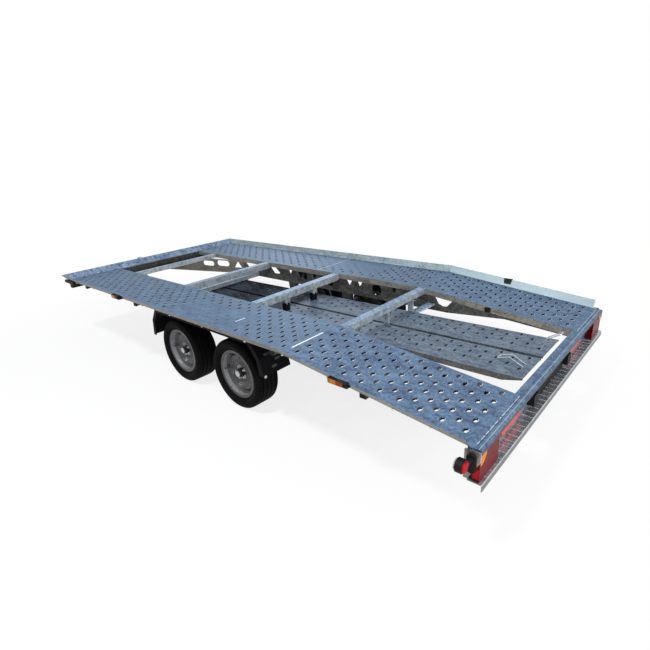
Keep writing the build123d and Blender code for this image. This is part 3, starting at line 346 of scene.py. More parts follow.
def at_all_wheels(kind):
    return tuple(f"{kind}_{place}_{tag}" for place in AXLES for tag in SIDES)


# CAD nodes by the material they get
NODE_LOOKS = (
    (DECK_ZINC, on_both_sides("board_level")),
    (LIP_ZINC, ("front_lip",)),
    (SLOPE_ZINC, on_both_sides("board_falling")),
    (BEAM_ZINC, ("cross_members", "kink_beam", "ramp_carriers")),
    (TAIL_ZINC, ("rear_beam",)),
    (RAMP_ZINC, on_both_sides("ramp")),
    (RAIL_ZINC, (*on_both_sides("rail"), "outriggers")),
    (ARM_ZINC, (*on_both_sides("drawbar"), "overrun_housing")),
    (STEP_ZINC, ("lamp_panel",)),
    (BRIGHT_ZINC, ("ramp_handles", "ramp_clamps", "jockey_tube", "jockey_inner", "jockey_fork")),
    (BLACK_PAINT, ("axle_front", "axle_rear", "brake_rod", "coupling_head", "handbrake_lever")),
    (DRUM_PAINT, at_all_wheels("hub")),
    (WHEEL_PAINT, at_all_wheels("rim")),
    (TYRE_RUBBER, ("jockey_wheel", *at_all_wheels("tyre"))),
    (GUARD_PLASTIC, ("mudguards",)),
    (BLACK_PLASTIC, ("plate_holder", "outline_markers", "ramp_pads", "side_markers")),
    (BLACK_RUBBER, ("coupling_bellows",)),
    (RED_LENS, ("rear_lamps",)),
    (RED_REFLECTOR, ("reflectors",)),
)


def dress_nodes():
    """Give every CAD node its material."""
    for material, names in NODE_LOOKS:
        for name in names:
            node = bpy.data.objects[name]
            node.data.materials.clear()
            node.data.materials.append(material)


# Meshes

class Heap:
    """Collects many small forms into one mesh."""

    def __init__(self):
        self.points = []
        self.faces = []

    def add(self, points, faces):
        first = len(self.points)
        self.points.extend(points)
        self.faces.extend([tuple(first + i for i in face) for face in faces])

    def rings(self, rings, close_first=False, close_last=False):
        """Skin a stack of closed rings that have equally many points."""
        count = len(rings[0])
        faces = []
        for level in range(len(rings) - 1):
            low, high = level * count, (level + 1) * count
            for i in range(count):
                j = (i + 1) % count
                faces.append((low + i, low + j, high + j, high + i))
        if close_first:
            faces.append(tuple(reversed(range(count))))
        if close_last:
            faces.append(tuple(range((len(rings) - 1) * count, len(rings) * count)))
        self.add([point for ring in rings for point in ring], faces)

    def solid(self, rings):
        """Skin a stack of rings and close both of its ends."""
        self.rings(rings, close_first=True, close_last=True)

    def piece(self, name, material, slot, body="chassis", smooth=False):
        """Make the mesh an object that rides on a body and has a slot for its material."""
        mesh = bpy.data.meshes.new(name)
        mesh.from_pydata([tuple(p) for p in self.points], [], self.faces)
        mesh.update()
        mesh.materials.append(material)
        for polygon in mesh.polygons:
            polygon.use_smooth = smooth
        made = bpy.data.objects.new(name, mesh)
        scene.collection.objects.link(made)
        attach(made, body)
        return made


def circle(centre, first, second, radius, count):
    """Points of a circle about a centre, in the plane of two unit vectors."""
    angles = [i * math.tau / count for i in range(count)]
    return [centre + radius * (math.cos(angle) * first + math.sin(angle) * second)
            for angle in angles]


def turned(heap, base, axis, profile, count=20):
    """Turn a profile of (distance along the axis, radius) about it; its ends are closed."""
    axis = Vector(axis).normalized()
    first = axis.orthogonal().normalized()
    second = axis.cross(first)
    heap.solid([circle(Vector(base) + run * axis, first, second, radius, count)
                for run, radius in profile])


def bolt(heap, base, axis, radius, height):
    """Washer and hexagonal head with a chamfered top, standing on base along axis."""
    washer_radius, washer_top = 1.35 * radius, 0.2 * height
    turned(heap, base, axis, ((0, washer_radius), (washer_top, washer_radius)))
    turned(heap, base, axis, ((washer_top, radius), (0.85 * height, radius),
                              (height, 0.86 * radius)), 6)


def plate(heap, outline, shift, taper=0.04):
    """Plate from an outline to the same outline moved by shift, with a small chamfer there."""
    outline = [Vector(point) for point in outline]
    shift = Vector(shift)
    centre = sum(outline, Vector()) / len(outline)
    turn = sum(((a - centre).cross(b - centre) for a, b in zip(outline, outline[1:])), Vector())
    if turn.dot(shift) < 0:
        outline.reverse()
    rings = [outline, [p + 0.7 * shift for p in outline],
             [p + shift + taper * (centre - p) for p in outline]]
    heap.solid(rings)


def obround(centre, along, across, length, width, count=8):
    """Outline of a slot: two half circles joined by straight runs."""
    centre, along, across = Vector(centre), Vector(along), Vector(across)
    reach, radius = (length - width) / 2, width / 2
    points = []
    for end, start in ((1, -math.pi / 2), (-1, math.pi / 2)):
        for i in range(count):
            angle = start + math.pi * i / (count - 1)
            points.append(centre + (end * reach + radius * math.cos(angle)) * along
                          + radius * math.sin(angle) * across)
    return points


def block(heap, low, high, chamfer):
    """Box between two corners, given in any order, with chamfered edges."""
    (x_low, x_high), (y_low, y_high), (z_low, z_high) = (sorted(pair) for pair in zip(low, high))

    def outline(inset, z):
        rear, front = x_low + inset, x_high - inset
        right, left = y_low + inset, y_high - inset
        return [Vector(p) for p in (
            (rear + chamfer, right, z), (front - chamfer, right, z),
            (front, right + chamfer, z), (front, left - chamfer, z),
            (front - chamfer, left, z), (rear + chamfer, left, z),
            (rear, left - chamfer, z), (rear, right + chamfer, z))]

    heap.solid([outline(chamfer, z_low), outline(0, z_low + chamfer),
                outline(0, z_high - chamfer), outline(chamfer, z_high)])


# Hole rims on boards and ramps

HOLE_PITCH_X, HOLE_PITCH_Y, HOLE_START = 0.0573, 0.100, 0.057
HOLE_COLUMNS, LEVEL_ROWS, FALLING_ROWS = 5, 54, 19
FIRST_HOLE_Y = {"left": 0.541, "right": -0.981}
HOLE_HALVES = (0.0098, 0.0200)  # half sizes along X and Y
CLOSED_X, CLOSED_Y = (0.540, 1.320), 0.665  # dimples stand here instead, X from the kink
RAMP_PITCH_X, RAMP_PITCH_Y, RAMP_START, RAMP_HOLE_Y = 0.081, 0.083, 0.054, 0.029
RAMP_COLUMNS = 3
RAMP_HOLE_HALVES = (0.0078, 0.0150)
RIM_REACH, RAMP_RIM_REACH = 0.0026, 0.0045  # how far a rim spreads about its hole
RIM_POINTS = 14
GLINT_STEPS = 4  # steps of a rim's outline that carry a painted glint
OVAL_PINCH = 0.18
# half sizes along X and Y, then height above the sheet, from the foot to the middle
SWELLING = ((0.0130, 0.0240, 0.0002), (0.0100, 0.0205, 0.0009), (0.0060, 0.0165, 0.0016),
            (0.0030, 0.0125, 0.0011))
SLIT = ((0.0030, 0.0125, 0.0011), (0.0016, 0.0080, 0.0004))


def staggered(start, rows, pitch, columns):
    """Hole centres (run, across): every column in even rows, half a step between in odd rows."""
    half_step = (columns[1] - columns[0]) / 2
    shifted = [y + half_step for y in columns[:-1]]
    return [(start + i * pitch, y) for i in range(rows) for y in (shifted if i % 2 else columns)]


def oval(x, y, z, half_x, half_y, slope=0.0):
    """Oval on a surface that rises by slope towards +X; its pointed ends face the two sides."""
    points = []
    for i in range(RIM_POINTS):
        angle = math.tau * i / RIM_POINTS
        u, v = math.cos(angle), math.sin(angle)
        lens_shape = 1 - OVAL_PINCH * abs(v) ** 3 * abs(u)
        points.append(Vector((x + half_x * u * lens_shape, y + half_y * v,
                              z + slope * half_x * u)))
    return points


def flared_rim(heaps, x, y, z, halves, slope=0.0, reach=RIM_REACH):
    """Rim rolled into a hole as a short collar, with a painted glint on its edge behind it."""
    rims, edges = heaps
    half_x, half_y = halves
    # how far outside the hole and how far above the sheet, from the edge down the collar
    # The collar reaches deep below the sheet and, in the dark rim zinc, is painted shade that hides
    # the pale floor under the hole.
    sections = ((reach, 0.0001), (0.6 * reach, 0.0004), (0.2 * reach, 0.0003), (-0.0003, -0.0006),
                (-0.0006, -0.0026), (-0.0008, -0.0110))
    rims.rings([oval(x, y, z + rise, half_x + out, half_y + out, slope)
                for out, rise in sections])
    inner, outer = (oval(x, y, z + 0.0007, half_x + out, half_y + out, slope)
                    for out in (0.3 * reach, 1.1 * reach))
    first = (RIM_POINTS - GLINT_STEPS) // 2
    glinting = range(first, first + GLINT_STEPS + 1)
    edges.add([inner[i] for i in glinting] + [outer[i] for i in glinting],
              [(GLINT_STEPS + 1 + i, i, i + 1, GLINT_STEPS + 2 + i) for i in range(GLINT_STEPS)])


def dimple(heaps, x, y, z):
    """Closed dimple: a low swelling with a dark slit along its middle, whose darkness is painted
    shade.
    """
    swellings, slits = heaps
    swellings.rings([oval(x, y, z + rise, half_x, half_y) for half_x, half_y, rise in SWELLING])
    slits.rings([oval(x, y, z + rise, half_x, half_y) for half_x, half_y, rise in SLIT],
                close_last=True)


def board_rims():
    """Rims, dimples and painted glints on the running boards; the rims' dark zinc is painted shade.
    """
    for tag, first_y in FIRST_HOLE_Y.items():
        columns = [first_y + i * HOLE_PITCH_Y for i in range(HOLE_COLUMNS)]
        level, swellings, slits, falling, edges = Heap(), Heap(), Heap(), Heap(), Heap()
        for run, y in staggered(HOLE_START, LEVEL_ROWS, HOLE_PITCH_X, columns):
            if CLOSED_X[0] < run < CLOSED_X[1] and abs(y) > CLOSED_Y:
                dimple((swellings, slits), KINK_X + run, y, DECK_Z)
            else:
                flared_rim((level, edges), KINK_X + run, y, DECK_Z, HOLE_HALVES)
        for run, y in staggered(HOLE_START, FALLING_ROWS, HOLE_PITCH_X, columns):
            x = KINK_X - run
            flared_rim((falling, edges), x, y, deck_height(x), HOLE_HALVES, DECK_FALL)
        level.piece(f"hole_rims_level_{tag}", RIM_ZINC, "zinc", smooth=True)
        swellings.piece(f"dimples_{tag}", DECK_ZINC, "zinc", smooth=True)
        slits.piece(f"dimple_slits_{tag}", SLIT_SHADE_ZINC, "zinc", smooth=True)
        falling.piece(f"hole_rims_falling_{tag}", RIM_ZINC, "zinc", smooth=True)
        edges.piece(f"worn_edges_{tag}", PALE_ZINC, "zinc")


def ramp_rims():
    """Wider rims on the ramps, which fall a little to the front; their dark zinc is painted shade
    and their pale edges painted glints.
    """
    low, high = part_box("ramp_left")
    rear_x, rear_z = low[0], high[2]
    rows = int((RAMP_LENGTH - 2 * RAMP_START) / RAMP_PITCH_X) + 1
    for tag in SIDES:
        right_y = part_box(f"ramp_{tag}")[0][1]
        columns = [right_y + RAMP_HOLE_Y + i * RAMP_PITCH_Y for i in range(RAMP_COLUMNS)]
        rims, edges = Heap(), Heap()
        for run, y in staggered(RAMP_START, rows, RAMP_PITCH_X, columns):
            flared_rim((rims, edges), rear_x + run, y, rear_z + RAMP_SLOPE * run,
                       RAMP_HOLE_HALVES, RAMP_SLOPE, RAMP_RIM_REACH)
        rims.piece(f"hole_rims_ramp_{tag}", RIM_ZINC, "zinc", smooth=True)
        edges.piece(f"worn_edges_ramp_{tag}", HIGHLIGHT_ZINC, "zinc")


# Tyres with tread, wheel nuts, hub caps and valves

TREAD_BLOCKS = 60
CUT_START, CUT_END, CUT_WALL = 0.86, 0.97, 0.02  # shares of a block's pitch
CUT_DEPTH = 0.0045
TREAD_FOOT = 0.2570  # radius between grooves and tread
SHOULDER_Y = 0.058
# radius and distance from the wheel's middle plane, from the bead to the middle of the tread
TYRE_PROFILE = (
    (0.1655, 0.0660), (0.1760, 0.0690), (0.1850, 0.0715), (0.1895, 0.0775), (0.1905, 0.0800),
    (0.1930, 0.0798), (0.2000, 0.0862), (0.2100, 0.0925), (0.2200, 0.0965), (0.2280, 0.0978),
    (0.2360, 0.0970), (0.2365, 0.0955), (0.2430, 0.0938), (0.2490, 0.0902), (0.2545, 0.0855),
    (0.2590, 0.0800), (0.2610, 0.0740), (0.2620, 0.0660), (0.2622, 0.0585), (0.2560, 0.0575),
    (0.2560, 0.0505), (0.2623, 0.0495), (0.2625, 0.0245), (0.2560, 0.0235), (0.2560, 0.0165),
    (0.2625, 0.0155),
)
NUT_COUNT, NUT_RING, NUT_RADIUS, NUT_HEIGHT = 5, 0.047, 0.0085, 0.014
DISC_Y, NUT_FOOT_Y = 0.030, 0.004  # disc's face from the middle plane, nuts off the disc
VALVE_RADIUS, VALVE_Y = 0.138, 0.034
# distance along the axis, radius
NUT_SEAT = ((0, 0.0125), (0.005, 0.0100))
HUB_CAP = ((-0.002, 0.0240), (0.0002, 0.0235), (0.0008, 0.0200))
VALVE = ((0, 0.007), (0.006, 0.0055), (0.018, 0.004), (0.030, 0.0042), (0.034, 0.003))


def treaded_tyre(name, centre):
    """Tyre turned about its axle, with four grooves and cuts across its shoulders."""
    profile = [*TYRE_PROFILE, *[(radius, -y) for radius, y in reversed(TYRE_PROFILE)]]
    rings = []
    for i in range(TREAD_BLOCKS):
        for share, depth in ((0.0, 0.0), (CUT_START, 0.0), (CUT_START + CUT_WALL, CUT_DEPTH),
                             (CUT_END, CUT_DEPTH)):
            angle = math.tau * (i + share) / TREAD_BLOCKS
            ring = []
            for radius, y in profile:
                cut = depth if radius > TREAD_FOOT and abs(y) > SHOULDER_Y else 0.0
                reach = radius - cut
                ring.append(centre + Vector((reach * math.cos(angle), y, -reach * math.sin(angle))))
            rings.append(ring)
    heap = Heap()
    heap.rings([*rings, rings[0]])
    made = heap.piece(name, TYRE_RUBBER, "tyre", body=name.replace("tread_", "wheel_"))
    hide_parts(name.replace("tread_", "tyre_"))


def wheel_nuts(centre, side):
    nuts = Heap()
    for i in range(NUT_COUNT):
        angle = math.tau * i / NUT_COUNT
        base = centre + Vector((NUT_RING * math.cos(angle), DISC_Y * side,
                                NUT_RING * math.sin(angle)))
        turned(nuts, base, (0, side, 0), NUT_SEAT, 16)
        bolt(nuts, base + Vector((0, NUT_FOOT_Y * side, 0)), (0, side, 0), NUT_RADIUS, NUT_HEIGHT)
    return nuts


def hub_cap(outer_end, side):
    """Flat cap on a hub's outer end."""
    cap = Heap()
    turned(cap, outer_end, (0, side, 0), HUB_CAP, 24)
    return cap


def valve_stem(centre, side):
    """Rubber valve near the wheel's rim, leaning a little outwards."""
    valve = Heap()
    foot = centre + Vector((VALVE_RADIUS, VALVE_Y * side, 0.0))
    turned(valve, foot, (0.35, side, 0), VALVE, 14)
    return valve


def wheel_details():
    """Tyre, nuts, hub cap and valve of every wheel."""
    for place in AXLES:
        for tag, side in SIDES.items():
            low, high = map(Vector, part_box(f"tyre_{place}_{tag}"))
            centre = (low + high) / 2
            hub_low, hub_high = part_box(f"hub_{place}_{tag}")
            hub_end = (centre.x, hub_high[1] if side > 0 else hub_low[1], centre.z)
            body = f"wheel_{place}_{tag}"
            treaded_tyre(f"tread_{place}_{tag}", centre)
            wheel_nuts(centre, side).piece(f"wheel_nuts_{place}_{tag}", CAP_STEEL, "zinc", body)
            hub_cap(hub_end, side).piece(f"hub_cap_{place}_{tag}", CAP_STEEL, "zinc", body)
            valve_stem(centre, side).piece(f"valve_{place}_{tag}", BLACK_RUBBER, "tyre", body)


# Lamps

COVER, THIN_COVER = 0.0003, 0.0002  # how far a cover stands off what it covers
LAMP_WIDTH, LAMP_FACE, LAMP_FOOT = 0.2022, 0.032, 0.009  # red part's depth, dark foot's height
AMBER_WIDTH, AMBER_HEIGHT, AMBER_DEPTH, AMBER_MARGIN = 0.056, 0.050, 0.0022, 0.004
ARC_STEPS = 8
REFLEX_X, REFLEX_Z = (0.002, 0.030), (0.012, 0.062)  # from the lamp's lower rear edge


def rear_lamp_details():
    """Amber corner, red reflex on the side and dark housing of each rear lamp."""
    low, high = map(Vector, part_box("rear_lamps"))
    amber, reflex, housing = Heap(), Heap(), Heap()
    angles = [math.pi / 2 * i / ARC_STEPS for i in range(ARC_STEPS + 1)]
    for side in (1, -1):
        outer = side * high[1]
        cover_y, thin_cover_y = outer + side * COVER, outer + side * THIN_COVER
        corner = Vector((low[0] - COVER, outer - side * AMBER_MARGIN, high[2] - AMBER_MARGIN))
        arc = [corner + Vector((0, -side * AMBER_WIDTH * math.cos(angle),
                                -AMBER_HEIGHT * math.sin(angle))) for angle in angles]
        plate(amber, [corner, *arc], (-AMBER_DEPTH, 0, 0))
        block(reflex, (low[0] + REFLEX_X[0], outer - side * 0.001, low[2] + REFLEX_Z[0]),
              (low[0] + REFLEX_X[1], thin_cover_y, low[2] + REFLEX_Z[1]), COVER)
        block(housing, (low[0] + LAMP_FACE, cover_y, low[2] + THIN_COVER),
              (high[0], outer - side * (LAMP_WIDTH + COVER), high[2] - THIN_COVER), COVER)
        block(housing, (low[0] + 0.001, thin_cover_y, low[2] + THIN_COVER),
              (high[0], outer - side * LAMP_WIDTH, low[2] + LAMP_FOOT), COVER)
    amber.piece("lamp_amber_corners", AMBER_LENS, "lamp_amber")
    reflex.piece("lamp_side_reflex", SIDE_RED_LENS, "lamp_red")
    housing.piece("lamp_backs", BLACK_PLASTIC, "black_plastic")


MARKER_INSET, MARKER_Z = 0.034, 0.458  # drum's axis, inset from the CAD drum's end
DRUM_HALF = 0.017  # half the drum's length
ARM_FOOT_Y, ARM_FOOT_Z = 1.0352, 0.438  # on the outer face of the end plate
FOOT_HEIGHT, FOOT_WIDTH, FOOT_DEPTH = 0.100, 0.044, 0.009
# distance along the axis, radius
MARKER_ARM = ((0, 0.0165), (0.012, 0.013), (0.040, 0.0115), (0.060, 0.0125))
MARKER_DRUM = ((0, 0.0290), (0.003, 0.0325), (0.031, 0.0325), (0.034, 0.0290))
MARKER_LENS = ((-0.002, 0.0275), (0.004, 0.0275), (0.0075, 0.0235), (0.009, 0.0150))


def outline_markers():
    """Slim drums on rubber arms, with a red and a clear lens; they stand for the CAD's drums."""
    low, high = map(Vector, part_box("outline_markers"))
    body, red, clear = Heap(), Heap(), Heap()
    half_drum = Vector((DRUM_HALF, 0, 0))
    for side in (1, -1):
        middle = Vector(((low[0] + high[0]) / 2, side * (high[1] - MARKER_INSET), MARKER_Z))
        foot = Vector((middle[0] - DRUM_HALF, side * ARM_FOOT_Y, ARM_FOOT_Z))
        plate(body, obround(foot, (0, 0, 1), (1, 0, 0), FOOT_HEIGHT, FOOT_WIDTH, 12),
              (0, FOOT_DEPTH * side, 0), 0.08)
        turned(body, (foot[0], foot[1], middle[2]), (0.1, side, 0), MARKER_ARM)
        turned(body, middle - half_drum, (1, 0, 0), MARKER_DRUM, 28)
        turned(red, middle - half_drum, (-1, 0, 0), MARKER_LENS, 28)
        turned(clear, middle + half_drum, (1, 0, 0), MARKER_LENS, 28)
    made = body.piece("marker_drums", BLACK_PLASTIC, "black_plastic")
    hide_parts("outline_markers")
    red.piece("marker_red_lenses", SIDE_RED_LENS, "lamp_red")
    clear.piece("marker_clear_lenses", CLEAR_LENS, "lamp_red")


SIDE_MARKER_X = (1.988, -0.467)  # from the kink
SHELL_HALF, SHELL_ROUND, SHELL_END = 0.0622, 0.003, 0.94  # rounding and share at its ends
# Y and height above the deck, up along the lip and down the outer face
SHELL_SECTION = ((1.0333, 0.0050), (1.0603, 0.0408), (1.0770, 0.0385), (1.0800, 0.0350),
                 (1.0800, 0.0120), (1.0760, 0.0070))
SHELL_MIDDLE_Y, SHELL_MIDDLE_Z = 1.058, 0.022
SIDE_LENS_Y, SIDE_LENS_LOW, SIDE_LENS_HIGH = 1.0799, 0.0130, 0.0345
AMBER_SPAN, REFLEX_SPAN = (0.058, 0.006), (0.004, -0.038)  # from the shell's middle
KNOB = ((0, 0.010), (0.0015, 0.010), (0.0022, 0.007))


def marker_shell(shells, side, middle_x, top):
    """Shell of one side marker, with a round knob at its rear end."""
    rings = []
    for x, share in ((-SHELL_HALF, SHELL_END), (SHELL_ROUND - SHELL_HALF, 1),
                     (SHELL_HALF - SHELL_ROUND, 1), (SHELL_HALF, SHELL_END)):
        section = [(SHELL_MIDDLE_Y + share * (y - SHELL_MIDDLE_Y),
                    SHELL_MIDDLE_Z + share * (z - SHELL_MIDDLE_Z))
                   for y, z in SHELL_SECTION[::-side]]
        rings.append([Vector((middle_x + x, side * y, top + z)) for y, z in section])
    shells.solid(rings)
    turned(shells, (middle_x - 0.050, side * 1.0795, top + 0.0235), (0, side, 0), KNOB, 16)


def side_markers():
    """Black shells on the boards' lips with an amber lens ahead and a dark one behind it."""
    shells, amber, brown = Heap(), Heap(), Heap()
    for side in (1, -1):
        for run in SIDE_MARKER_X:
            middle_x = KINK_X + run
            top = deck_height(middle_x + SHELL_HALF) - 0.0002
            marker_shell(shells, side, middle_x, top)
            for heap, (front, rear) in ((amber, AMBER_SPAN), (brown, REFLEX_SPAN)):
                outline = [Vector((middle_x + x, side * SIDE_LENS_Y, top + z)) for x, z in
                           ((front, SIDE_LENS_LOW), (rear, SIDE_LENS_LOW), (rear, SIDE_LENS_HIGH),
                            (front, SIDE_LENS_HIGH))]
                plate(heap, outline, (0, 0.0018 * side, 0))
    made = shells.piece("side_marker_shells", BLACK_PLASTIC, "black_plastic")
    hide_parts("side_markers")
    amber.piece("side_marker_amber", AMBER_LENS, "lamp_amber")
    brown.piece("side_marker_reflex", DARK_AMBER_LENS, "lamp_amber")


# Ramp clamps, jockey tube and hand brake grip

PAD_HALF, BRACKET_WALL = 0.0225, 0.003
PRONG_SHIFT, PRONG_HALF = 0.016, 0.004


def clamp_brackets():
    """Bright brackets about the ramp pads, with two prongs up to the ears."""
    low, high = map(Vector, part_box("ramp_pads"))
    brackets = Heap()
    reach = PAD_HALF + BRACKET_WALL
    for side in (1, -1):
        middle_y = side * (high[1] - PAD_HALF)
        block(brackets, (low[0] - BRACKET_WALL, middle_y - reach, high[2] - 0.034),
              (high[0] + BRACKET_WALL, middle_y + reach, high[2] - 0.001), 0.0015)
        for prong_y in (middle_y - PRONG_SHIFT, middle_y + PRONG_SHIFT):
            block(brackets, (low[0] - 0.010, prong_y - PRONG_HALF, high[2] - 0.042),
                  (low[0] - 0.002, prong_y + PRONG_HALF, high[2] + 0.010), 0.0012)
    brackets.piece("pad_brackets", BRIGHT_ZINC, "zinc")


JOCKEY_TOP = 0.5195
BORE_RADIUS, TUBE_RADIUS, CAP_RADIUS = 0.0262, 0.0300, 0.0325
CLAMP_RADIUS, CLAMP_ROUND = 0.0415, 0.0015
CLAMP_LOW, CLAMP_HIGH = 0.388, 0.448
CRANK_REACH, CRANK_THICK, CRANK_HALF = 0.058, 0.008, 0.009  # arm of the folded crank
CRANK_Z, CRANK_GRIP_Z = 0.492, 0.405
# distance along the axis, radius
CRANK_SHAFT = ((0, 0.010), (0.018, 0.010), (0.020, 0.008))
CRANK_GRIP = ((0, 0.008), (0.006, 0.0115), (0.050, 0.0115), (0.057, 0.0080))


def jockey_housing():
    """Jockey tube with its clamp, cap and folded crank; it stands for the CAD's tube."""
    low, high = map(Vector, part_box("jockey_tube"))
    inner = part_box("jockey_inner")
    centre = (Vector(inner[0]) + Vector(inner[1])) / 2
    foot = Vector((centre[0], centre[1], 0))
    # height and radius, down the bore and up the outside
    profile = ((JOCKEY_TOP - 0.004, BORE_RADIUS), (low[2], BORE_RADIUS), (low[2], TUBE_RADIUS),
               (CLAMP_LOW - 0.003, TUBE_RADIUS), (CLAMP_LOW - 0.002, CLAMP_RADIUS - CLAMP_ROUND),
               (CLAMP_LOW, CLAMP_RADIUS), (CLAMP_HIGH, CLAMP_RADIUS),
               (CLAMP_HIGH + 0.002, CLAMP_RADIUS - CLAMP_ROUND),
               (CLAMP_HIGH + 0.003, TUBE_RADIUS), (JOCKEY_TOP - 0.016, TUBE_RADIUS),
               (JOCKEY_TOP - 0.015, CAP_RADIUS), (JOCKEY_TOP - 0.002, CAP_RADIUS),
               (JOCKEY_TOP, TUBE_RADIUS))
    tube, grip = Heap(), Heap()
    tube.solid([circle(foot + Vector((0, 0, z)), Vector((1, 0, 0)), Vector((0, 1, 0)), radius, 28)
                for z, radius in profile])
    block(tube, (foot[0] - 0.025, foot[1] + 0.020, CLAMP_LOW + 0.002),
          (foot[0] + 0.025, high[1] - 0.0002, CLAMP_HIGH - 0.002), 0.003)
    bolt(tube, foot + Vector((0.0005 - CLAMP_RADIUS, 0, (CLAMP_LOW + CLAMP_HIGH) / 2)), (-1, 0, 0),
         0.010, 0.009)
    turned(tube, foot + Vector((-TUBE_RADIUS, 0, CRANK_Z)), (-1, 0, 0), CRANK_SHAFT, 16)
    block(tube, foot + Vector((-CRANK_REACH, -CRANK_HALF, CRANK_GRIP_Z - 0.005)),
          foot + Vector((CRANK_THICK - CRANK_REACH, CRANK_HALF, CRANK_Z + 0.008)), 0.002)
    turned(grip, foot + Vector((-CRANK_REACH, 0, CRANK_GRIP_Z)), (-1, 0, 0), CRANK_GRIP, 16)
    made = tube.piece("jockey_housing", BRIGHT_ZINC, "zinc")
    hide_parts("jockey_tube")
    grip.piece("crank_grip", BLACK_PLASTIC, "black_plastic")


GRIP_DROP, GRIP_FALL = 0.012, 0.088  # below the lever's top at its end, and slope to the front
GRIP_FLAT, GRIP_HALF = 0.008, 0.012  # half widths of its narrow faces and of all
# distance from its rear end and half height
GRIP_SECTIONS = ((0.000, 0.010), (0.004, 0.0145), (0.110, 0.0155), (0.116, 0.0120))


def brake_grip():
    """Moulded grip on the hand brake lever's rear end."""
    low, high = map(Vector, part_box("handbrake_lever"))
    grip = Heap()
    middle_y = (low[1] + high[1]) / 2
    rings = []
    for run, half in GRIP_SECTIONS:
        axis_z = high[2] - GRIP_DROP - run * GRIP_FALL
        section = ((-GRIP_FLAT, -half), (GRIP_FLAT, -half), (GRIP_HALF, -0.6 * half),
                   (GRIP_HALF, 0.6 * half), (GRIP_FLAT, half), (-GRIP_FLAT, half),
                   (-GRIP_HALF, 0.6 * half), (-GRIP_HALF, -0.6 * half))
        rings.append([Vector((low[0] - 0.003 + run, middle_y + y, axis_z + z))
                      for y, z in section])
    grip.solid(rings)
    grip.piece("brake_grip", BLACK_RUBBER, "black_plastic")


# Ribs on the step, ridges and weld runs on the rear beam

RIB_PITCH, RIB_MARGIN, RIB_WIDTH = 0.052, 0.03, 0.0026
RIB_X = (0.005, 0.060)  # from the step's rear edge
# X from the beam's rear edge, width, and height against the beam's top
RIDGES = ((0.002, 0.0040, -0.0040), (0.011, 0.0060, 0.0012), (0.026, 0.0030, 0.0012))
WELD_START_Y, WELD_DASHES, WELD_GAP = 0.503, 11, 0.006
WELD_THIN, WELD_THICK = 0.0005, 0.0014


def dash_length(i, shortest, spread, kinds):
    """Length of dash number i; a few lengths take turns, as in work done by hand."""
    return shortest + spread * (17 * i % kinds) / (kinds - 1)


def step_ribs():
    """Pale ribs on the step."""
    low, high = map(Vector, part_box("lamp_panel"))
    ribs = Heap()
    for i in range(int(2 * (high[1] - RIB_MARGIN) / RIB_PITCH) + 1):
        y = -high[1] + RIB_MARGIN + i * RIB_PITCH
        block(ribs, (low[0] + RIB_X[0], y, STEP_Z - 0.0008),
              (low[0] + RIB_X[1], y + RIB_WIDTH, STEP_Z + 0.0007), 0.0004)
    ribs.piece("step_ribs", PALE_ZINC, "zinc")


def beam_ridges():
    """Folds along the rear beam's top, in paler zinc as painted highlights, and the welds between it
    and the boards.
    """
    low, high = map(Vector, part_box("rear_beam"))
    ridges, welds = Heap(), Heap()
    for run, width, rise in RIDGES:
        x, top = low[0] + run, REAR_DECK_Z + rise
        block(ridges, (x, low[1] + 0.002, top - 0.0035), (x + width, high[1] - 0.002, top),
              0.0012)
    ridges.piece("beam_ridges", HIGHLIGHT_ZINC, "zinc")
    for side in (1, -1):
        y = WELD_START_Y
        for i in range(WELD_DASHES):
            length = dash_length(i, 0.030, 0.020, 5)
            turned(welds, (DECK_REAR_X + 0.0005, side * y, REAR_DECK_Z - 0.0006), (0, side, 0),
                   ((0, WELD_THIN), (0.1 * length, WELD_THICK), (0.9 * length, WELD_THICK),
                    (length, WELD_THIN)), 8)
            y += length + WELD_GAP
    welds.piece("deck_end_welds", PALE_ZINC, "zinc")


# Caps, lip bolts, mudguard slots and pale strokes, some of them painted highlights

OUTRIGGER_X = (2.790, 1.800, 0.100, -0.571)  # from the kink
OUTRIGGER_HALF, OUTRIGGER_DROP = 0.0205, 0.003  # half width, and depth of its top under the deck
CAP_ROUND = 0.0015


def black_caps():
    """Plastic caps in the open ends of tubes and channels."""
    caps = Heap()
    end_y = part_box("outriggers")[1][1]
    for side in (1, -1):
        for x in OUTRIGGER_X:
            at_x = KINK_X + x
            top = deck_height(at_x) - OUTRIGGER_DROP
            block(caps, (at_x - OUTRIGGER_HALF, side * (end_y - 0.001), top - 0.043),
                  (at_x + OUTRIGGER_HALF, side * (end_y + 0.005), top - 0.003), CAP_ROUND)
        # end of the front channel
        block(caps, (FOLD_X - 0.0525, side * 1.0185, DECK_Z - 0.0835),
              (FOLD_X + 0.0003, side * 1.0235, DECK_Z - 0.0035), CAP_ROUND)
        # black rounded block under the board's lip at the corner, standing in for the shade there
        block(caps, (FOLD_X - 0.170, side * 1.0215, DECK_Z - 0.0340),
              (FOLD_X + 0.055, side * 1.0480, DECK_Z - 0.0005), 0.008)
        # inner end of the rearmost outrigger
        block(caps, (KINK_X - 0.592, side * 0.4985, 0.532), (KINK_X - 0.550, side * 0.4900, 0.568),
              CAP_ROUND)
    caps.piece("end_caps", BLACK_PLASTIC, "black_plastic")


LIP_BOLT_X = (2.95, 2.55, 2.15, 1.62, 1.2, 0.78, 0.32, -0.02, -0.36, -0.767, -0.965)
LIP_BOLT_Y, LIP_BOLT_DROP, LIP_BOLT_FALL = 1.0275, 0.0030, 1.27  # the bolts point outwards, down


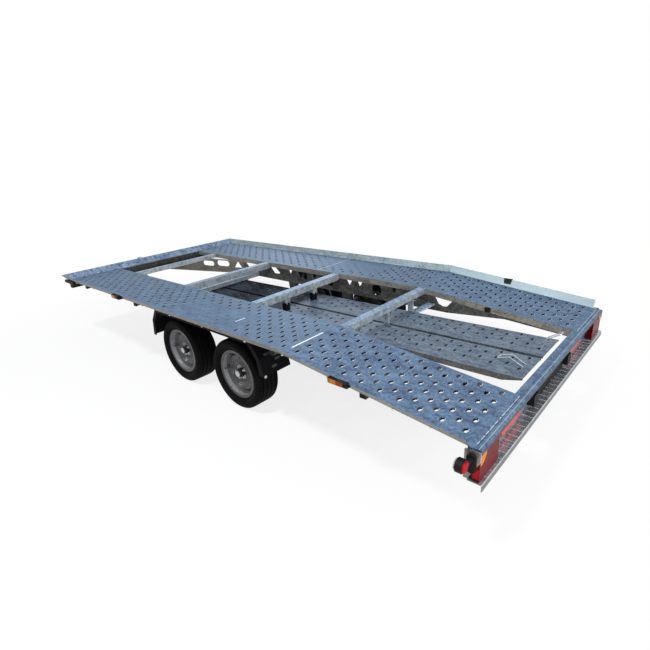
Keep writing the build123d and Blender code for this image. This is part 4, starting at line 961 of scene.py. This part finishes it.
def lip_bolts():
    """Small bolts along the outer foot of the boards' lips."""
    bolts = Heap()
    for side in (1, -1):
        for x in LIP_BOLT_X:
            at_x = KINK_X + x
            bolt(bolts, (at_x, side * LIP_BOLT_Y, deck_height(at_x) - LIP_BOLT_DROP),
                 (0, side, -LIP_BOLT_FALL), 0.0055, 0.005)
    bolts.piece("lip_bolts", BRIGHT_ZINC, "zinc")


# X from the guard's rear end and height, down its rear outline
GUARD_CORNERS = ((0.115, 0.590), (0.030, 0.480), (0.0, 0.360))
GUARD_SLOTS = ((0.874, 0.493), (0.800, 0.444), (0.838, 0.403))  # Y and height of their middles
SLOT_LENGTH, SLOT_WIDTH, SLOT_RISE = 0.046, 0.018, 0.0012
STRAP_Y, STRAP_Z, STRAP_LENGTH, STRAP_WIDTH = 0.930, 0.371, 0.140, 0.028


def guard_details():
    """Slots and a strap with its bolt on each mudguard's rear end."""
    rear_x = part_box("mudguards")[0][0]
    slots, straps, bolts = Heap(), Heap(), Heap()
    corners = [Vector((rear_x + ahead, 0, z)) for ahead, z in GUARD_CORNERS]
    for side in (1, -1):
        for y, z in GUARD_SLOTS:
            upper, lower = corners[:2] if z > corners[1].z else corners[1:]
            lean = (lower - upper).normalized()
            out = Vector((lean.z, 0, -lean.x))
            centre = upper + (z - upper.z) / lean.z * lean + Vector((0, side * y, 0))
            plate(slots, obround(centre + 0.0004 * out, (0, 1, 0), lean, SLOT_LENGTH, SLOT_WIDTH),
                  SLOT_RISE * out)
        strap = Vector((rear_x + 0.002, side * STRAP_Y, STRAP_Z))
        plate(straps, obround(strap + Vector((0.018, 0, 0.045)), (-0.24, 0, -0.970), (0, 1, 0),
                              STRAP_LENGTH, STRAP_WIDTH), (-0.004, 0, 0.001))
        bolt(bolts, strap + Vector((-0.001, 0, -0.010)), (-1, 0, 0.2), 0.007, 0.008)
    slots.piece("guard_slots", GREY_PLASTIC, "black_plastic")
    straps.piece("guard_straps", GREY_PLASTIC, "black_plastic")
    bolts.piece("guard_bolts", BRIGHT_ZINC, "zinc")


# X from the kink, Y of both ends, and width
# The first mark, at the kink, is a painted highlight where the fold catches the light; the second is
# a pale line further forward.
MARKS = ((0.0, 0.657, 0.932, 0.013), (0.649, 0.757, 0.843, 0.009))
SEAM_X, SEAM_WIDTH, SEAM_START_Y, SEAM_END_Y = 1.115, 0.005, -1.015, -0.986
SEAM_DASHES, SEAM_PITCH = 13, 0.040
SIDE_FOLD_Y, SIDE_DASHES, SIDE_PITCH = 1.0225, 44, 0.071
FRONT_DASHES, FRONT_PITCH = 34, 0.059


def bright_strokes():
    """Pale marks on the left board, the one at the kink a painted highlight of the fold, a seam
    across the right one and welds along the folds.
    """
    strokes = Heap()
    foot, top = DECK_Z - 0.0002, DECK_Z + 0.0010
    seam = [(SEAM_X, SEAM_START_Y + i * SEAM_PITCH, SEAM_END_Y + i * SEAM_PITCH, SEAM_WIDTH)
            for i in range(SEAM_DASHES)]
    for x, y_low, y_high, width in (*MARKS, *seam):
        middle = Vector((KINK_X + x, (y_low + y_high) / 2, DECK_Z + 0.0002))
        plate(strokes, obround(middle, (0, 1, 0), (1, 0, 0), y_high - y_low, width), (0, 0, 0.0009),
              0.02)
    for side in (1, -1):
        for i in range(SIDE_DASHES):
            x = KINK_X + 0.02 + i * SIDE_PITCH
            block(strokes, (x, side * SIDE_FOLD_Y, foot),
                  (x + dash_length(i, 0.034, 0.028, 4), side * (SIDE_FOLD_Y + 0.0025), top), 0.0004)
    for i in range(FRONT_DASHES):
        y = -1.0 + i * FRONT_PITCH
        block(strokes, (FOLD_X - 0.0020, y, foot),
              (FOLD_X + 0.0008, y + dash_length(i, 0.026, 0.026, 5), top), 0.0004)
    strokes.piece("pale_strokes", PALE_ZINC, "zinc")


# Floor, lights and camera

PHOTO_PIXELS = 650
FLOOR_REACH = 60.0
SHADOW_REACH, WHITE_REACH = 1.5, 4.0  # the floor turns white between these distances


def shown_rays(tree):
    """1 for the rays that show the background: straight, mirrored or refracted."""
    rays = tree.nodes.new("ShaderNodeLightPath")
    shown = rays.outputs["Is Camera Ray"]
    for kind in ("Is Glossy Ray", "Is Transmission Ray"):
        either = tree.nodes.new("ShaderNodeMath")
        either.operation = "MAXIMUM"
        tree.links.new(shown, either.inputs[0])
        tree.links.new(rays.outputs[kind], either.inputs[1])
        shown = either.outputs[0]
    return shown


def lay_floor():
    """Pale floor that keeps the trailer's shadow and turns white further out."""
    mesh = bpy.data.meshes.new("floor")
    corners = ((-1, -1), (1, -1), (1, 1), (-1, 1))
    mesh.from_pydata([(FLOOR_REACH * x, FLOOR_REACH * y, 0) for x, y in corners], [],
                     [(0, 1, 2, 3)])
    floor = bpy.data.objects.new("floor", mesh)
    scene.collection.objects.link(floor)
    paint = Shader("floor_paint", Roughness=1.0, Specular_IOR_Level=0.0)
    patches = paint.noise(0.8, detail=3.0)
    paint.feed("Base Color", paint.ramp(patches, (0.3, 0.86), (0.7, 0.89)))
    away = paint.node("VectorMath", {0: paint.place}, operation="LENGTH")
    white = paint.node("MapRange", {"Value": away.outputs["Value"], "From Min": SHADOW_REACH,
                                    "From Max": WHITE_REACH, "To Min": 0.80, "To Max": 1.0},
                       interpolation_type="SMOOTHSTEP").outputs[0]
    share = paint.product(white, shown_rays(paint.tree))
    glow = paint.node("Emission", {"Color": (1, 1, 1, 1), "Strength": 1.0})
    mix = paint.node("MixShader", {0: share, 1: paint.surface.outputs[0], 2: glow.outputs[0]})
    paint.tree.links.new(mix.outputs[0], paint.tree.nodes["Material Output"].inputs["Surface"])
    mesh.materials.append(paint.material)


def light_world():
    """Soft sky light on the trailer in front of a white background."""
    world = bpy.data.worlds.new("studio")
    scene.world = world
    world.use_nodes = True
    tree = world.node_tree
    soft = tree.nodes["Background"]
    soft.inputs["Color"].default_value = (0.93, 0.96, 1.0, 1)
    soft.inputs["Strength"].default_value = 0.55
    white = tree.nodes.new("ShaderNodeBackground")
    white.inputs["Color"].default_value = (1, 1, 1, 1)
    mix = tree.nodes.new("ShaderNodeMixShader")
    tree.links.new(shown_rays(tree), mix.inputs[0])
    tree.links.new(soft.outputs[0], mix.inputs[1])
    tree.links.new(white.outputs[0], mix.inputs[2])
    tree.links.new(mix.outputs[0], tree.nodes["World Output"].inputs["Surface"])


def area_light(name, place, target, size, watts):
    """Round lamp at a place, turned to a target."""
    data = bpy.data.lights.new(name, "AREA")
    data.shape = "DISK"
    data.size = size
    data.energy = watts
    lamp = bpy.data.objects.new(name, data)
    lamp.location = place
    lamp.rotation_euler = (Vector(target) - Vector(place)).to_track_quat("-Z", "Y").to_euler()
    scene.collection.objects.link(lamp)


def aim_camera(location, yaw, pitch, roll, focal_pixels):
    """Camera that looks along yaw and down by pitch, all in degrees, rolled about its own axis."""
    yaw, pitch, roll = math.radians(yaw), math.radians(pitch), math.radians(roll)
    forward = Vector((math.cos(pitch) * math.cos(yaw), math.cos(pitch) * math.sin(yaw),
                      -math.sin(pitch)))
    level_right = forward.cross(Vector((0, 0, 1))).normalized()
    level_up = level_right.cross(forward)
    right = math.cos(roll) * level_right + math.sin(roll) * level_up
    up = math.cos(roll) * level_up - math.sin(roll) * level_right
    data = bpy.data.cameras.new("camera")
    data.sensor_width = 36.0
    data.lens = focal_pixels / PHOTO_PIXELS * data.sensor_width
    camera = bpy.data.objects.new("camera", data)
    turn = Matrix((right, up, -forward)).transposed().to_4x4()
    camera.matrix_world = Matrix.Translation(Vector(location)) @ turn
    scene.collection.objects.link(camera)
    scene.camera = camera


# The scene in order

aim_camera(location=(-3.42519, 2.55259, 1.69722), yaw=-46.966, pitch=21.118, roll=-3.782,
           focal_pixels=448.4)
lay_floor()
light_world()
area_light("key", place=(-1.2, 3.6, 6.6), target=(-0.2, 0, 0.5), size=0.8, watts=310)
area_light("back", place=(4.5, -5.0, 3.0), target=(0, 0, 0.5), size=3.0, watts=40)
area_light("fill", place=(-7.0, 2.5, 1.8), target=(-2.0, 0, 0.4), size=2.5, watts=150)
dress_nodes()
board_rims()
ramp_rims()
wheel_details()
rear_lamp_details()
outline_markers()
side_markers()
clamp_brackets()
jockey_housing()
brake_grip()
step_ribs()
beam_ridges()
black_caps()
lip_bolts()
guard_details()
bright_strokes()
